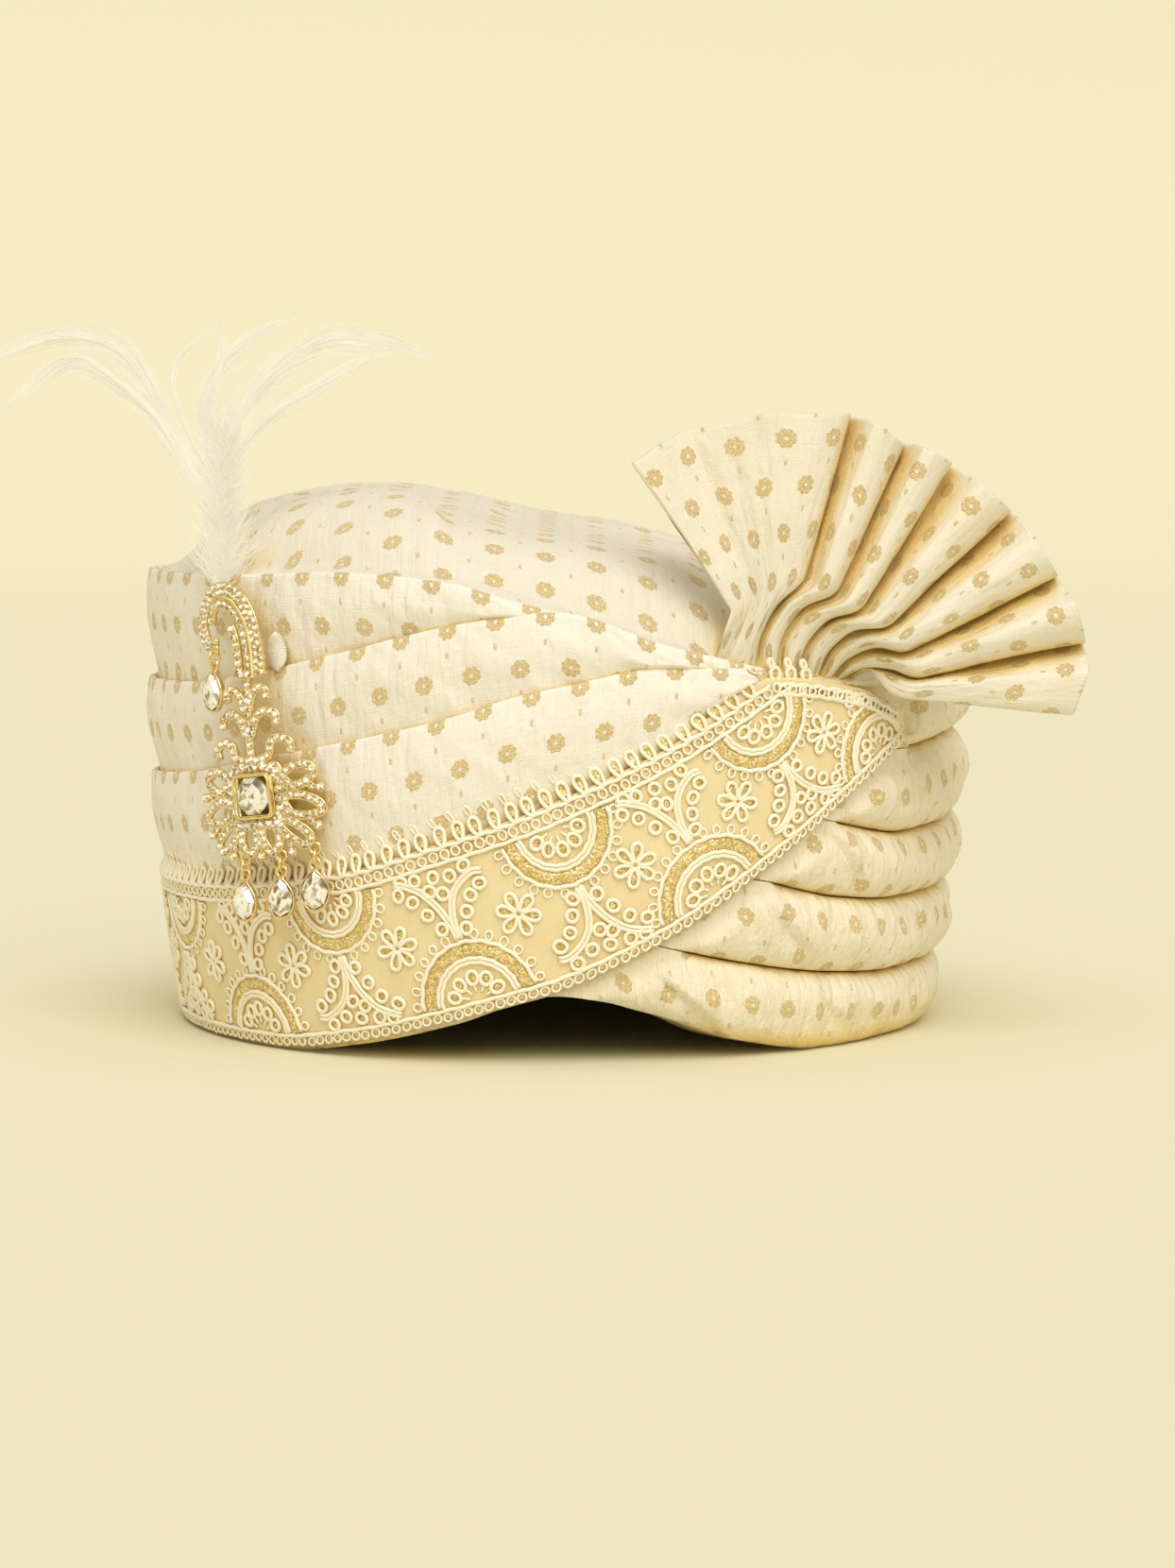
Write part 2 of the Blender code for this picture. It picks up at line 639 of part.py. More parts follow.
def bent(point):
    """A point of the brooch's flat frame, leant and bent round to follow the body."""
    lean = math.radians(BROOCH_LEAN)
    s = point.x * math.cos(lean) - point.y * math.sin(lean)
    t = point.x * math.sin(lean) + point.y * math.cos(lean)
    facing = math.radians(BROOCH_AZIMUTH)
    outward = Vector((math.sin(facing), -math.cos(facing), 0.0))
    centre = on_body(BROOCH_WALL_AZIMUTH, BROOCH_HEIGHT) + outward * BROOCH_STANDOFF
    axis = centre - outward * BROOCH_BEND_RADIUS
    turn = facing + s / BROOCH_BEND_RADIUS
    reach = BROOCH_BEND_RADIUS + point.z
    return Vector((axis.x + reach * math.sin(turn), axis.y - reach * math.cos(turn), centre.z + t))


def bend(obj):
    for vertex in obj.data.vertices:
        vertex.co = bent(vertex.co)


def on_plate(point):
    """A place on the brooch, in metres, from one in hundredths of its length."""
    return Vector((point[0], point[1], 0.0)) * (BROOCH_LENGTH / 100)


def ribbon(points, half, bottom, top, closed):
    """A flat strip of plate along points in the s and t plane."""
    count = len(points)
    sections = []
    for i, p in enumerate(points):
        before = points[(i - 1) % count] if closed or i else p
        after = points[(i + 1) % count] if closed or i < count - 1 else p
        along = (after - before).normalized()
        side = Vector((-along.y, along.x, 0.0)) * half
        low, high = Vector((0.0, 0.0, bottom)), Vector((0.0, 0.0, top))
        sections.append([p - side + low, p + side + low, p + side + high, p - side + high])
    return loft(sections, "ribbon", closed=closed)


def round_stone(place, radius):
    """A cut stone with eight crown facets and a table, sunk a little into the plate."""
    bm = bmesh.new()
    height = STONE_HEIGHT + STONE_SINK
    centre = place + Vector((0.0, 0.0, PLATE_THICKNESS - STONE_SINK + height / 2))
    bmesh.ops.create_cone(bm, cap_ends=True, segments=8, radius1=radius, radius2=radius * 0.58,
                          depth=height, matrix=Matrix.Translation(centre))
    bmesh.ops.triangulate(bm, faces=[f for f in bm.faces if len(f.verts) > 4])
    return mesh_from(bm, "stone")


def seat_disc(place, radius):
    """A round seat in the plate, a hair thinner than it so that no faces coincide."""
    bm = bmesh.new()
    bmesh.ops.create_cone(bm, cap_ends=True, segments=8, radius1=radius, radius2=radius,
                          depth=PLATE_THICKNESS * 0.98,
                          matrix=Matrix.Translation(place + PLATE_MIDDLE))
    return mesh_from(bm, "seat")


def torus(centre, radius, wire, turned):
    """A round ring in the brooch's flat frame. turned names the axis that it goes round."""
    around, sides = 10, 5
    flat = Vector((1.0, 0.0, 0.0)) if turned == "s" else Vector((0.0, 0.0, 1.0))
    sections = []
    for i in range(around):
        angle = 2 * math.pi * i / around
        if turned == "s":
            out = Vector((0.0, math.cos(angle), math.sin(angle)))
        else:
            out = Vector((math.cos(angle), math.sin(angle), 0.0))
        section = []
        for j in range(sides):
            turn = 2 * math.pi * j / sides
            offset = out * (radius + wire * math.cos(turn)) + flat * (wire * math.sin(turn))
            section.append(centre + offset)
        sections.append(section)
    return loft(sections, "ring", closed=True)


def both_sides(points, mirrored):
    """The points on the plate and, where the row says so, their mirror image."""
    found = [[on_plate(p) for p in points]]
    if mirrored:
        found.append([on_plate((-p[0], p[1])) for p in points])
    return found


def halo_path():
    """The middle of the ring of stones that is joined to the bezel's sides."""
    reach = BEZEL_WIDTH / 2 + HALO_STONE_RADIUS + RIBBON_MARGIN - HALO_OVERLAP
    corner = reach * 0.96
    return [Vector((x, y, 0.0)) for x, y in (
        (corner, corner), (reach, 0), (corner, -corner), (0, -reach),
        (-corner, -corner), (-reach, 0), (-corner, corner), (0, reach))]


def rib(path, radius, closed, stones):
    """A ribbon of plate that just holds stones of a radius, with its stones if it has any."""
    _, length = through(path, 2, closed)
    line, _ = through(path, max(6, round(length / RIB_STEP)), closed)
    found = [ribbon(line, radius + RIBBON_MARGIN, 0.0, PLATE_THICKNESS, closed)]
    if stones:
        seats, _ = through(path, round(length / (2 * radius + STONE_SPACING)), closed)
        found += [round_stone(p, radius) for p in seats]
    return found


def bezel_mesh():
    """The square tray that holds the centre stone."""
    bm = bmesh.new()
    bmesh.ops.create_cube(bm, size=1.0, matrix=Matrix.Translation((0, 0, BEZEL_HEIGHT / 2))
                          @ Matrix.Diagonal((BEZEL_WIDTH, BEZEL_WIDTH, BEZEL_HEIGHT, 1.0)))
    top = max(bm.faces, key=lambda f: f.calc_center_median().z)
    bmesh.ops.inset_region(bm, faces=[top], thickness=BEZEL_LIP)
    bmesh.ops.translate(bm, verts=top.verts, vec=(0, 0, PLATE_THICKNESS - BEZEL_HEIGHT))
    return mesh_from(bm, "bezel")


def make_brooch(gold, stone, collection):
    """The pierced setting with its small stones in one body, and the centre stone."""
    parts = [bezel_mesh()] + rib(halo_path(), HALO_STONE_RADIUS, True, True)
    for points, width, mirrored, closed, stones in RIB_TABLE:
        for path in both_sides(points, mirrored):
            parts += rib(path, width * SMALL_STONE_RADIUS, closed, stones)
    for root, tip, stone_share, mirrored in STALK_TABLE:
        radius = SMALL_STONE_RADIUS * stone_share
        for path in both_sides((root, tip), mirrored):
            parts.append(ribbon(path, STALK_WIDTH / 2, 0.0, PLATE_THICKNESS, False))
            parts.append(seat_disc(path[1], radius + RIBBON_MARGIN))
            parts.append(round_stone(path[1], radius))
    for _, s, t in EYE_TABLE:
        parts.append(torus(on_plate((s, t)) + PLATE_MIDDLE, EYE_RADIUS, EYE_WIRE, "n"))
    bend(joined("brooch_setting", parts, gold, collection))

    half, table = CENTRE_STONE_WIDTH / 2, CENTRE_STONE_WIDTH * 0.28
    low = PLATE_THICKNESS + CLEARANCE

    def cut_square(size, z):
        corner = size * 0.72
        return [Vector((x, y, z)) for x, y in (
            (size, -corner), (size, corner), (corner, size), (-corner, size),
            (-size, corner), (-size, -corner), (-corner, -size), (corner, -size))]

    sections = [cut_square(half, low), cut_square(half, low + CENTRE_STONE_HEIGHT * 0.35),
                cut_square(table, low + CENTRE_STONE_HEIGHT)]
    bend(add_object("centre_stone", loft(sections, "centre_stone"), stone, collection))


def teardrop(scale, z):
    """Outline of a drop, point upwards, at a height n above its back."""
    points = []
    for i in range(10):
        angle = 2 * math.pi * i / 10 + math.pi / 2
        narrowing = 1 - 0.45 * max(math.sin(angle), 0.0) ** 1.5
        points.append(Vector((DROP_WIDTH / 2 * scale * math.cos(angle) * narrowing,
                              DROP_LENGTH / 2 * scale * math.sin(angle), z)))
    return points


def make_drops(gold, stone, collection):
    """Four drops, each a stone in a cup with an eye, on a jump ring through the brooch's eye."""
    upright = Matrix.Rotation(-math.radians(BROOCH_LEAN), 4, "Z")
    down = upright @ Vector((0.0, -1.0, 0.0))
    hang = EYE_RADIUS + RING_RADIUS - 3 * EYE_WIRE
    cup_depth = DROP_THICKNESS / 2
    for name, s, t in EYE_TABLE:
        eye = on_plate((s, t)) + PLATE_MIDDLE
        ring = add_object(f"drop_ring_{name}", torus(Vector((0, 0, 0)), RING_RADIUS, RING_WIRE, "s"),
                          gold, collection)
        ring.data.transform(Matrix.Translation(eye + down * hang) @ upright)
        bend(ring)
        low_eye = eye + down * 2 * hang
        middle = low_eye + down * (EYE_RADIUS + DROP_LENGTH / 2)
        place = Matrix.Translation(middle - PLATE_MIDDLE * 2) @ upright
        cup = loft([teardrop(0.80, 0.0), teardrop(1.0, cup_depth / 2), teardrop(1.0, cup_depth)],
                   "cup")
        cup.transform(place)
        loop = torus(low_eye, EYE_RADIUS, EYE_WIRE, "n")
        bend(joined(f"drop_cup_{name}", [cup, loop], gold, collection))
        bottom = cup_depth + CLEARANCE
        sections = [teardrop(0.92, bottom), teardrop(0.92, bottom + cup_depth * 0.3),
                    teardrop(0.42, bottom + cup_depth)]
        gem = add_object(f"drop_stone_{name}", loft(sections, "gem"), stone, collection)
        gem.data.transform(place)
        bend(gem)


def make_pin(gold, collection):
    """A plain upright pin behind the brooch, its ends turned in towards the cloth."""
    rod = bpy.data.curves.new("brooch_pin", "CURVE")
    rod.dimensions = "3D"
    rod.bevel_depth = PIN_RADIUS
    rod.bevel_resolution = 1
    rod.use_fill_caps = True
    line = rod.splines.new("POLY")
    line.points.add(3)
    behind = -CLEARANCE - PIN_RADIUS
    upper, lower = (bent(Vector((0.0, t, behind))) for t in (PIN_LENGTH / 2, -PIN_LENGTH / 2))
    places = (onto_body(upper, WRAP_FACE - CLEARANCE), upper, lower,
              onto_body(lower, WRAP_FACE - CLEARANCE))
    for point, place in zip(line.points, places):
        point.co = (*place, 1.0)
    obj = bpy.data.objects.new("brooch_pin", rod)
    obj.data.materials.append(gold)
    collection.objects.link(obj)
    weld = obj.modifiers.new("caps", "WELD")
    weld.merge_threshold = 0.00001


def make_pad(thread, collection):
    """The thread-wound pad that shows beside the brooch's hook."""
    bm = bmesh.new()
    turn = Matrix.Rotation(math.radians(PAD_AZIMUTH), 4, "Z")
    lean = Matrix.Rotation(math.radians(-PAD_LEAN), 4, "Y")
    lap_face = LAP_BED - CLEARANCE - WRAP_THICKNESS
    bed_depth = lap_face + (WRAP_FACE - lap_face) * PAD_BED_SHARE
    centre = on_body(PAD_AZIMUTH, PAD_HEIGHT, bed_depth - PAD_SIZE[1] / 2 - CLEARANCE)
    bmesh.ops.create_uvsphere(
        bm, u_segments=10, v_segments=7, radius=0.5,
        matrix=Matrix.Translation(centre) @ turn @ lean @ Matrix.Diagonal((*PAD_SIZE, 1.0)))
    add_object("pin_pad", mesh_from(bm, "pin_pad"), thread, collection)


# Plume

def lock_mesh(root, side, back, height, droop, width):
    """A curved lock that rises from the root, bends outwards and tapers to its tip."""
    sections = []
    count = 6
    for i in range(count):
        u = i / (count - 1)
        over = u**2.2
        rise = math.sin(min(u * (1 + droop / 2), 1.0) * math.pi / 2) ** 0.85
        fall = 2.2 * droop * max(u - 0.62, 0.0) ** 1.5
        centre = root + PLUME_HEIGHT * Vector((side * over, back * over, height * rise - fall))
        belly = 0.55 + 0.9 * math.sin(math.pi * min(u * 1.25 + 0.12, 1.0))
        wide = width * PLUME_HEIGHT / 2 * belly * (1.04 - u)
        thick = wide * 0.45 + 0.005 * PLUME_HEIGHT
        tilt = math.atan(2.2 * side * over)
        across = Vector((math.cos(tilt), 0.0, -math.sin(tilt))) * wide
        deep = Vector((0.0, thick, 0.0))
        sections.append([centre - across, centre - deep, centre + across, centre + deep])
    return loft(sections, "lock")


def make_plume(finish, collection):
    """Locks fused to a soft base and a quill that runs down between the hook and the cloth."""
    depth = WRAP_FACE - QUILL_RADIUS - CLEARANCE
    top = wall("top", PLUME_BASE_AZIMUTH) + QUILL_RISE
    root = on_body(PLUME_BASE_AZIMUTH, top, depth)
    bm = bmesh.new()
    fluff = Matrix.Translation(root + Vector((0.0, 0.0, PLUME_FLUFF[2] - QUILL_RISE / 2)))
    bmesh.ops.create_uvsphere(bm, u_segments=8, v_segments=6, radius=1.0,
                              matrix=fluff @ Matrix.Diagonal((*PLUME_FLUFF, 1.0)))
    base = mesh_from(bm, "base")
    bm = bmesh.new()
    middle = root + Vector((0.0, 0.0, QUILL_RISE / 2 - QUILL_LENGTH / 2))
    bmesh.ops.create_cone(bm, cap_ends=True, segments=8, radius1=QUILL_RADIUS,
                          radius2=QUILL_RADIUS, depth=QUILL_LENGTH,
                          matrix=Matrix.Translation(middle))
    quill = mesh_from(bm, "quill")
    locks = [lock_mesh(root, *row) for row in LOCK_TABLE]
    joined("plume", [base, quill] + locks, finish, collection)


def main():
    for obj in list(bpy.data.objects):
        bpy.data.objects.remove(obj)
    collection = bpy.data.collections.new(COLLECTION)
    bpy.context.scene.collection.children.link(collection)
    cloth = material("cloth", CLOTH_COLOUR, 0.85)
    border = material("border", BORDER_COLOUR, 0.80)
    gold = material("gold", GOLD_COLOUR, 0.30, 1.0)
    stone = material("stone", STONE_COLOUR, 0.05)
    feather = material("feather", FEATHER_COLOUR, 0.90)
    thread = material("thread", THREAD_COLOUR, 0.90)
    make_rolls(cloth, collection)
    make_wraps(cloth, border, collection)
    make_crown(cloth, collection)
    make_fan(cloth, collection)
    make_brooch(gold, stone, collection)
    make_drops(gold, stone, collection)
    make_pin(gold, collection)
    make_pad(thread, collection)
    make_plume(feather, collection)


main()
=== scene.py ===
"""The tied turban dressed for the photograph, round the fixed frame that is packed from part.py.

Units are metres, +Z up and the front faces -Y, as in part.py. Azimuths are degrees round the head,
0 towards -Y and 90 towards +X. A depth is measured inwards from the envelope that just holds the
wound body. The border's embroidery is laid out in millimetres, s along the band and w across it.
"""

import math

import bmesh
import bpy
import numpy as np
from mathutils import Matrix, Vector


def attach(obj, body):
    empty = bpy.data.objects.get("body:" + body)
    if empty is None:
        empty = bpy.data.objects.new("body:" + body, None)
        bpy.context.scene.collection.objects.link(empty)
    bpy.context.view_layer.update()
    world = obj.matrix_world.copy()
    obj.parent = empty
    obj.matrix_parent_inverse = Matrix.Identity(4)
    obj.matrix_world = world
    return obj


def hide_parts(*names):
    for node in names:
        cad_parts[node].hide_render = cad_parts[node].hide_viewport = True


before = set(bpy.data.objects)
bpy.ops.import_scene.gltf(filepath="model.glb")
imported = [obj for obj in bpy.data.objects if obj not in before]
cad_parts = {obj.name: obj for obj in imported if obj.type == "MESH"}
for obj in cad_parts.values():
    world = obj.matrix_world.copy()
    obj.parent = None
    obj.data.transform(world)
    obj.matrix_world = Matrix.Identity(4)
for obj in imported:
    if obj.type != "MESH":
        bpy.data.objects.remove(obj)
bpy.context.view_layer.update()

MM = 0.001
UP = np.array((0.0, 0.0, 1.0))

# The body, with the same values as in part.py.
HEAD_HALF_WIDTH = 0.080
HEAD_HALF_DEPTH = 0.098
BODY_HALF_WIDTH = 0.1253
RIM_HALF_WIDTH = 0.1145
BODY_EXTRA_DEPTH = 0.012
FLARE_HEIGHT = 0.100
BODY_HEIGHT = 0.140
GROOVE_DEPTH = 0.008
TOP_ROUNDING = 0.006
RIM_ROUNDING = 0.007
WRAP_THICKNESS = 0.0022
BORDER_THICKNESS = 0.0018
LAP = 0.0060
LAP_BED = 0.0055
HEM_BED = 0.0026
CLEARANCE = 0.0003
COVER_MARGIN = 0.0055
COVER_FADE = 0.0060
START_MARGIN = 0.0040
CROWN_INSET = 0.0090
CROWN_RISE = 0.0230
CROWN_THICKNESS = 0.0020

WALL_TABLE = np.array((
    (-180, 0.000, 0.19, 0.37, 0.55, 0.73, 0.900), (-150, 0.000, 0.19, 0.37, 0.55, 0.74, 0.925),
    (-120, 0.000, 0.19, 0.38, 0.57, 0.76, 0.950), (-90, 0.000, 0.19, 0.38, 0.58, 0.78, 0.970),
    (-60, 0.000, 0.19, 0.38, 0.58, 0.79, 0.980), (-45, 0.000, 0.20, 0.39, 0.59, 0.80, 0.988),
    (-30, 0.028, 0.22, 0.41, 0.60, 0.81, 1.000), (-15, 0.080, 0.27, 0.45, 0.63, 0.82, 0.985),
    (0, 0.144, 0.32, 0.47, 0.63, 0.79, 0.925), (15, 0.097, 0.243, 0.41, 0.57, 0.71, 0.855),
    (30, 0.031, 0.193, 0.37, 0.52, 0.66, 0.800), (45, 0.000, 0.160, 0.32, 0.474, 0.63, 0.775),
    (60, 0.000, 0.145, 0.30, 0.44, 0.62, 0.775), (75, 0.000, 0.145, 0.30, 0.44, 0.63, 0.780),
    (90, 0.000, 0.150, 0.31, 0.46, 0.64, 0.790), (120, 0.000, 0.17, 0.33, 0.50, 0.67, 0.820),
    (150, 0.000, 0.18, 0.35, 0.53, 0.70, 0.865),
))
WRAP_TABLE = np.array((
    (-170, 0.120, 0.180, 0.310, 0.440, 0.570), (-160, 0.040, 0.250, 0.370, 0.520, 0.680),
    (-150, 0.012, 0.295, 0.440, 0.600, 0.780), (-140, 0.006, 0.312, 0.490, 0.670, 0.870),
    (-130, 0.006, 0.318, 0.512, 0.710, 0.935), (-120, 0.006, 0.320, 0.520, 0.720, 0.950),
    (-90, 0.006, 0.320, 0.530, 0.735, 0.970), (-60, 0.006, 0.330, 0.562, 0.752, 0.980),
    (-45, 0.006, 0.350, 0.605, 0.785, 0.988), (-30, 0.035, 0.385, 0.650, 0.835, 1.000),
    (-15, 0.088, 0.457, 0.705, 0.893, 0.985), (-5, 0.130, 0.510, 0.755, 0.920, 0.945),
    (0, 0.152, 0.542, 0.772, 0.925, 0.925), (15, 0.257, 0.650, 0.812, 0.855, 0.850),
    (30, 0.405, 0.786, 0.799, 0.800, 0.795), (45, 0.560, 0.754, 0.740, 0.740, 0.740),
    (55, 0.650, 0.704, 0.700, 0.700, 0.700),
))
WRAP_STARTS = {"border": -170, "low": -160, "middle": -150, "upper": -140}
WRAP_ENDS = {"border": 55, "low": 42, "middle": 32, "upper": 4}
STRIP_BELOW = {"low": "border", "middle": "low", "upper": "middle"}
EDGES = ("border_low", "border", "low", "middle", "upper")
RIDGE_TABLE = np.array((
    (-1.00, 0.10), (-0.86, 0.70), (-0.70, 0.93), (-0.45, 1.00), (-0.25, 0.86), (-0.10, 0.62),
    (0.10, 0.42), (0.30, 0.20), (0.50, -0.30), (0.75, -0.85), (1.00, -1.15),
))

# Where the embroidered half medallions sit: azimuth and height of the middle of each on its line.
MEDALLIONS = (
    ("top", -68.3, 43.4), ("bottom", -47.9, 4.4), ("top", -32.8, 50.1), ("bottom", -10.7, 20.2),
    ("top", -0.7, 71.0), ("bottom", 22.2, 48.3), ("top", 26.8, 102.7), ("bottom", 47.6, 91.9),
)
MEDALLION_STEP = 38.5
BAND_WIDTH = 47.8
LOWER_LINE = 3.5
INNER_LINE = 43.2
CORD_RADIUS = 0.65
FINE_RADIUS = 0.42


# Curves and fields

def smooth_curve(xs, ys, period=0.0):
    """A function that runs smoothly through the points, level where a point is a turning point."""
    if period:
        xs = np.concatenate([[xs[-1] - period], xs, [xs[0] + period, xs[1] + period]])
        ys = np.concatenate([[ys[-1]], ys, [ys[0], ys[1]]])
    steps = np.diff(xs)
    rates = np.diff(ys) / steps
    before, after = rates[:-1], rates[1:]
    same = before * after > 0
    slopes = np.zeros(len(xs))
    slopes[1:-1][same] = 2 * before[same] * after[same] / (before[same] + after[same])

    def at(x):
        x = np.asarray(x, float)
        if period:
            x = (x - xs[1]) % period + xs[1]
        x = np.clip(x, xs[0], xs[-1])
        i = np.clip(np.searchsorted(xs, x, side="right") - 1, 0, len(steps) - 1)
        u = (x - xs[i]) / steps[i]
        return ((2 * u**3 - 3 * u**2 + 1) * ys[i] + (u**3 - 2 * u**2 + u) * slopes[i] * steps[i]
                + (3 * u**2 - 2 * u**3) * ys[i + 1] + (u**3 - u**2) * slopes[i + 1] * steps[i])

    return at


WALLS = [smooth_curve(WALL_TABLE[:, 0], WALL_TABLE[:, k] * BODY_HEIGHT, 360.0)
         for k in range(1, 7)]
STRIPS = {name: smooth_curve(WRAP_TABLE[:, 0], WRAP_TABLE[:, k + 1] * BODY_HEIGHT)
          for k, name in enumerate(EDGES)}
RIDGE = smooth_curve(RIDGE_TABLE[:, 0], RIDGE_TABLE[:, 1])


def smoothstep(u):
    u = np.clip(u, 0.0, 1.0)
    return u * u * (3 - 2 * u)


def noise_field(across, along, seed, around=True):
    """Soft noise from -1 to 1 over u and v from 0 to 1, seamless in u where around is true."""
    table = np.random.default_rng(seed).uniform(-1.0, 1.0, (across + 1, along + 2))
    if around:
        table[across] = table[0]

    def at(u, v):
        u, v = np.broadcast_arrays(u, v)
        x = (u % 1.0 if around else np.clip(u, 0.0, 1.0)) * across
        y = np.clip(v, 0.0, 1.0) * along
        i = np.minimum(x.astype(int), across - 1)
        j = y.astype(int)
        fx, fy = smoothstep(x - i), smoothstep(y - j)
        low = table[i, j] * (1 - fx) + table[i + 1, j] * fx
        high = table[i, j + 1] * (1 - fx) + table[i + 1, j + 1] * fx
        return low * (1 - fy) + high * fy

    return at


def run_along(points, axis=0):
    """The distance of each point from the first, measured along an axis of the array."""
    steps = np.linalg.norm(np.diff(points, axis=axis), axis=-1)
    return np.concatenate([np.zeros_like(np.take(steps, [0], axis)), np.cumsum(steps, axis)], axis)


def read_at(wanted, runs, rows):
    """Rows of numbers, read between the runs at which they stand."""
    return np.stack([np.interp(wanted, runs, column) for column in np.transpose(rows)], -1)


def unit(vectors):
    return vectors / np.maximum(np.linalg.norm(vectors, axis=-1, keepdims=True), 1e-12)


def even_angles(count):
    return np.linspace(0, 2 * np.pi, count, endpoint=False)


def turned(x, y, turn):
    """A place in the flat, turned by an angle."""
    return x * math.cos(turn) - y * math.sin(turn), x * math.sin(turn) + y * math.cos(turn)


def through(points, count, closed=False):
    """Points at even steps along a Catmull-Rom curve through the points."""
    points = np.asarray(points, float)
    n = len(points)
    fine = []
    for i in range(n if closed else n - 1):
        b, c = points[i], points[(i + 1) % n]
        a = points[i - 1] if closed or i else 2 * b - c
        d = points[(i + 2) % n] if closed or i + 2 < n else 2 * c - b
        u = np.linspace(0.0, 1.0, 16, endpoint=False)[:, None]
        fine.append(0.5 * (2 * b + (c - a) * u + (2 * a - 5 * b + 4 * c - d) * u**2
                           + (3 * b - a - 3 * c + d) * u**3))
    fine = np.concatenate([*fine, points[:1] if closed else points[-1:]])
    runs = run_along(fine)
    return read_at(np.linspace(0.0, runs[-1], count, endpoint=not closed), runs, fine)


# The body's envelope

def half_width(z):
    low = 1 - np.clip(z, 0.0, FLARE_HEIGHT) / FLARE_HEIGHT
    return BODY_HALF_WIDTH - (BODY_HALF_WIDTH - RIM_HALF_WIDTH) * low * low


def on_body(azimuth, z, depth=0.0):
    """Points at a depth under the envelope."""
    azimuth, z, depth = np.broadcast_arrays(np.radians(azimuth), z, depth)
    a = half_width(z) - depth
    return np.stack([a * np.sin(azimuth), -(a + BODY_EXTRA_DEPTH) * np.cos(azimuth), z], -1)


def outward_at(azimuth, z):
    """The way that the envelope faces."""
    return unit(on_body(azimuth, z, -1.0) - on_body(azimuth, z, 0.0))


def strip_edges(name, azimuth):
    """Heights of the lower and upper edges of a wrap or of the border."""
    if name == "border":
        return STRIPS["border_low"](azimuth), STRIPS["border"](azimuth)
    return STRIPS[STRIP_BELOW[name]](azimuth) - LAP, STRIPS[name](azimuth)


def cover(azimuth, z):
    """How far the wraps cover the rolls at a place: 1 under them, 0 well clear of them."""
    found = np.zeros(np.broadcast(azimuth, z).shape)
    for name, end in WRAP_ENDS.items():
        before = np.radians(WRAP_STARTS[name] - azimuth) * BODY_HALF_WIDTH
        beyond = np.maximum(np.radians(azimuth - end) * BODY_HALF_WIDTH, before + START_MARGIN)
        along = 1 - smoothstep((beyond - COVER_MARGIN) / COVER_FADE)
        low, high = strip_edges(name, azimuth)
        outside = np.maximum(np.maximum(low - COVER_MARGIN - z, z - high - COVER_MARGIN), 0.0)
        found = np.maximum(found, along * (1 - smoothstep(outside / COVER_FADE)))
    return found


def bed(azimuth, z):
    """Depth of the rolls' face under the wraps."""
    low, top = strip_edges("border", azimuth)
    reach = np.maximum(top - LAP - COVER_FADE / 2 - low, HEM_BED / 4)
    return HEM_BED + (LAP_BED - HEM_BED) * np.clip((z - low) / reach, 0.0, 1.0)


def strip_depth(name, azimuth, z):
    """Depth of the outer face of a wrap or of the border at a height."""
    low, top = strip_edges(name, azimuth)
    height = np.maximum(top - low, 1e-5)
    foot = LAP_BED - CLEARANCE
    head = foot - WRAP_THICKNESS - CLEARANCE
    thickness, lap = WRAP_THICKNESS, LAP
    if name == "border":
        foot, thickness, lap = 0.0001 + BORDER_THICKNESS, BORDER_THICKNESS, 0.0
    lap_top = low + np.minimum(lap, 0.6 * height)
    head = foot + (head - foot) * smoothstep((height - lap) / LAP)
    rise_top = np.maximum(top - LAP, lap_top + 0.3 * (top - lap_top))
    share = smoothstep((z - lap_top) / np.maximum(rise_top - lap_top, 1e-5))
    return foot + (head - foot) * share - thickness


# Meshes

def grid_faces(rows, columns, wrap_rows=False, wrap_columns=False):
    """Quads of a grid whose point (i, j) has the index i * columns + j."""
    i, j = np.meshgrid(np.arange(rows if wrap_rows else rows - 1),
                       np.arange(columns if wrap_columns else columns - 1), indexing="ij")
    below, right = (i + 1) % rows, (j + 1) % columns
    return np.stack([i * columns + j, i * columns + right, below * columns + right,
                     below * columns + j], -1).reshape(-1, 4)


def corner_uvs(uvs):
    """One UV for each face corner, from a grid with a further row or column where it wraps."""
    i, j = np.meshgrid(np.arange(uvs.shape[0] - 1), np.arange(uvs.shape[1] - 1), indexing="ij")
    corners = [uvs[i, j], uvs[i, j + 1], uvs[i + 1, j + 1], uvs[i + 1, j]]
    return np.stack(corners, 2).reshape(-1, 2)


def make_object(name, points, faces, finish, uvs=None, smooth=True):
    """An object from arrays, with its normals outwards. uvs has one row for each face corner."""
    mesh = bpy.data.meshes.new(name)
    mesh.from_pydata(np.asarray(points, float).reshape(-1, 3).tolist(), [],
                     [list(map(int, face)) for face in faces])
    if uvs is not None:
        layer = mesh.uv_layers.new(name="cloth")
        layer.data.foreach_set("uv", np.asarray(uvs, np.float32).ravel())
    mesh.materials.append(finish)
    if smooth:
        mesh.shade_smooth()
    mesh.validate()
    outwards = bmesh.new()
    outwards.from_mesh(mesh)
    bmesh.ops.recalc_face_normals(outwards, faces=outwards.faces)
    outwards.to_mesh(mesh)
    outwards.free()
    obj = bpy.data.objects.new(name, mesh)
    bpy.context.scene.collection.objects.link(obj)
    return obj


def fit(piece, slot, *nodes):
    """Fixes a piece to the body, in place of the frame's nodes, which it hides. slot is not used.
    """
    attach(piece, "root")
    if nodes:
        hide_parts(*nodes)
    return piece


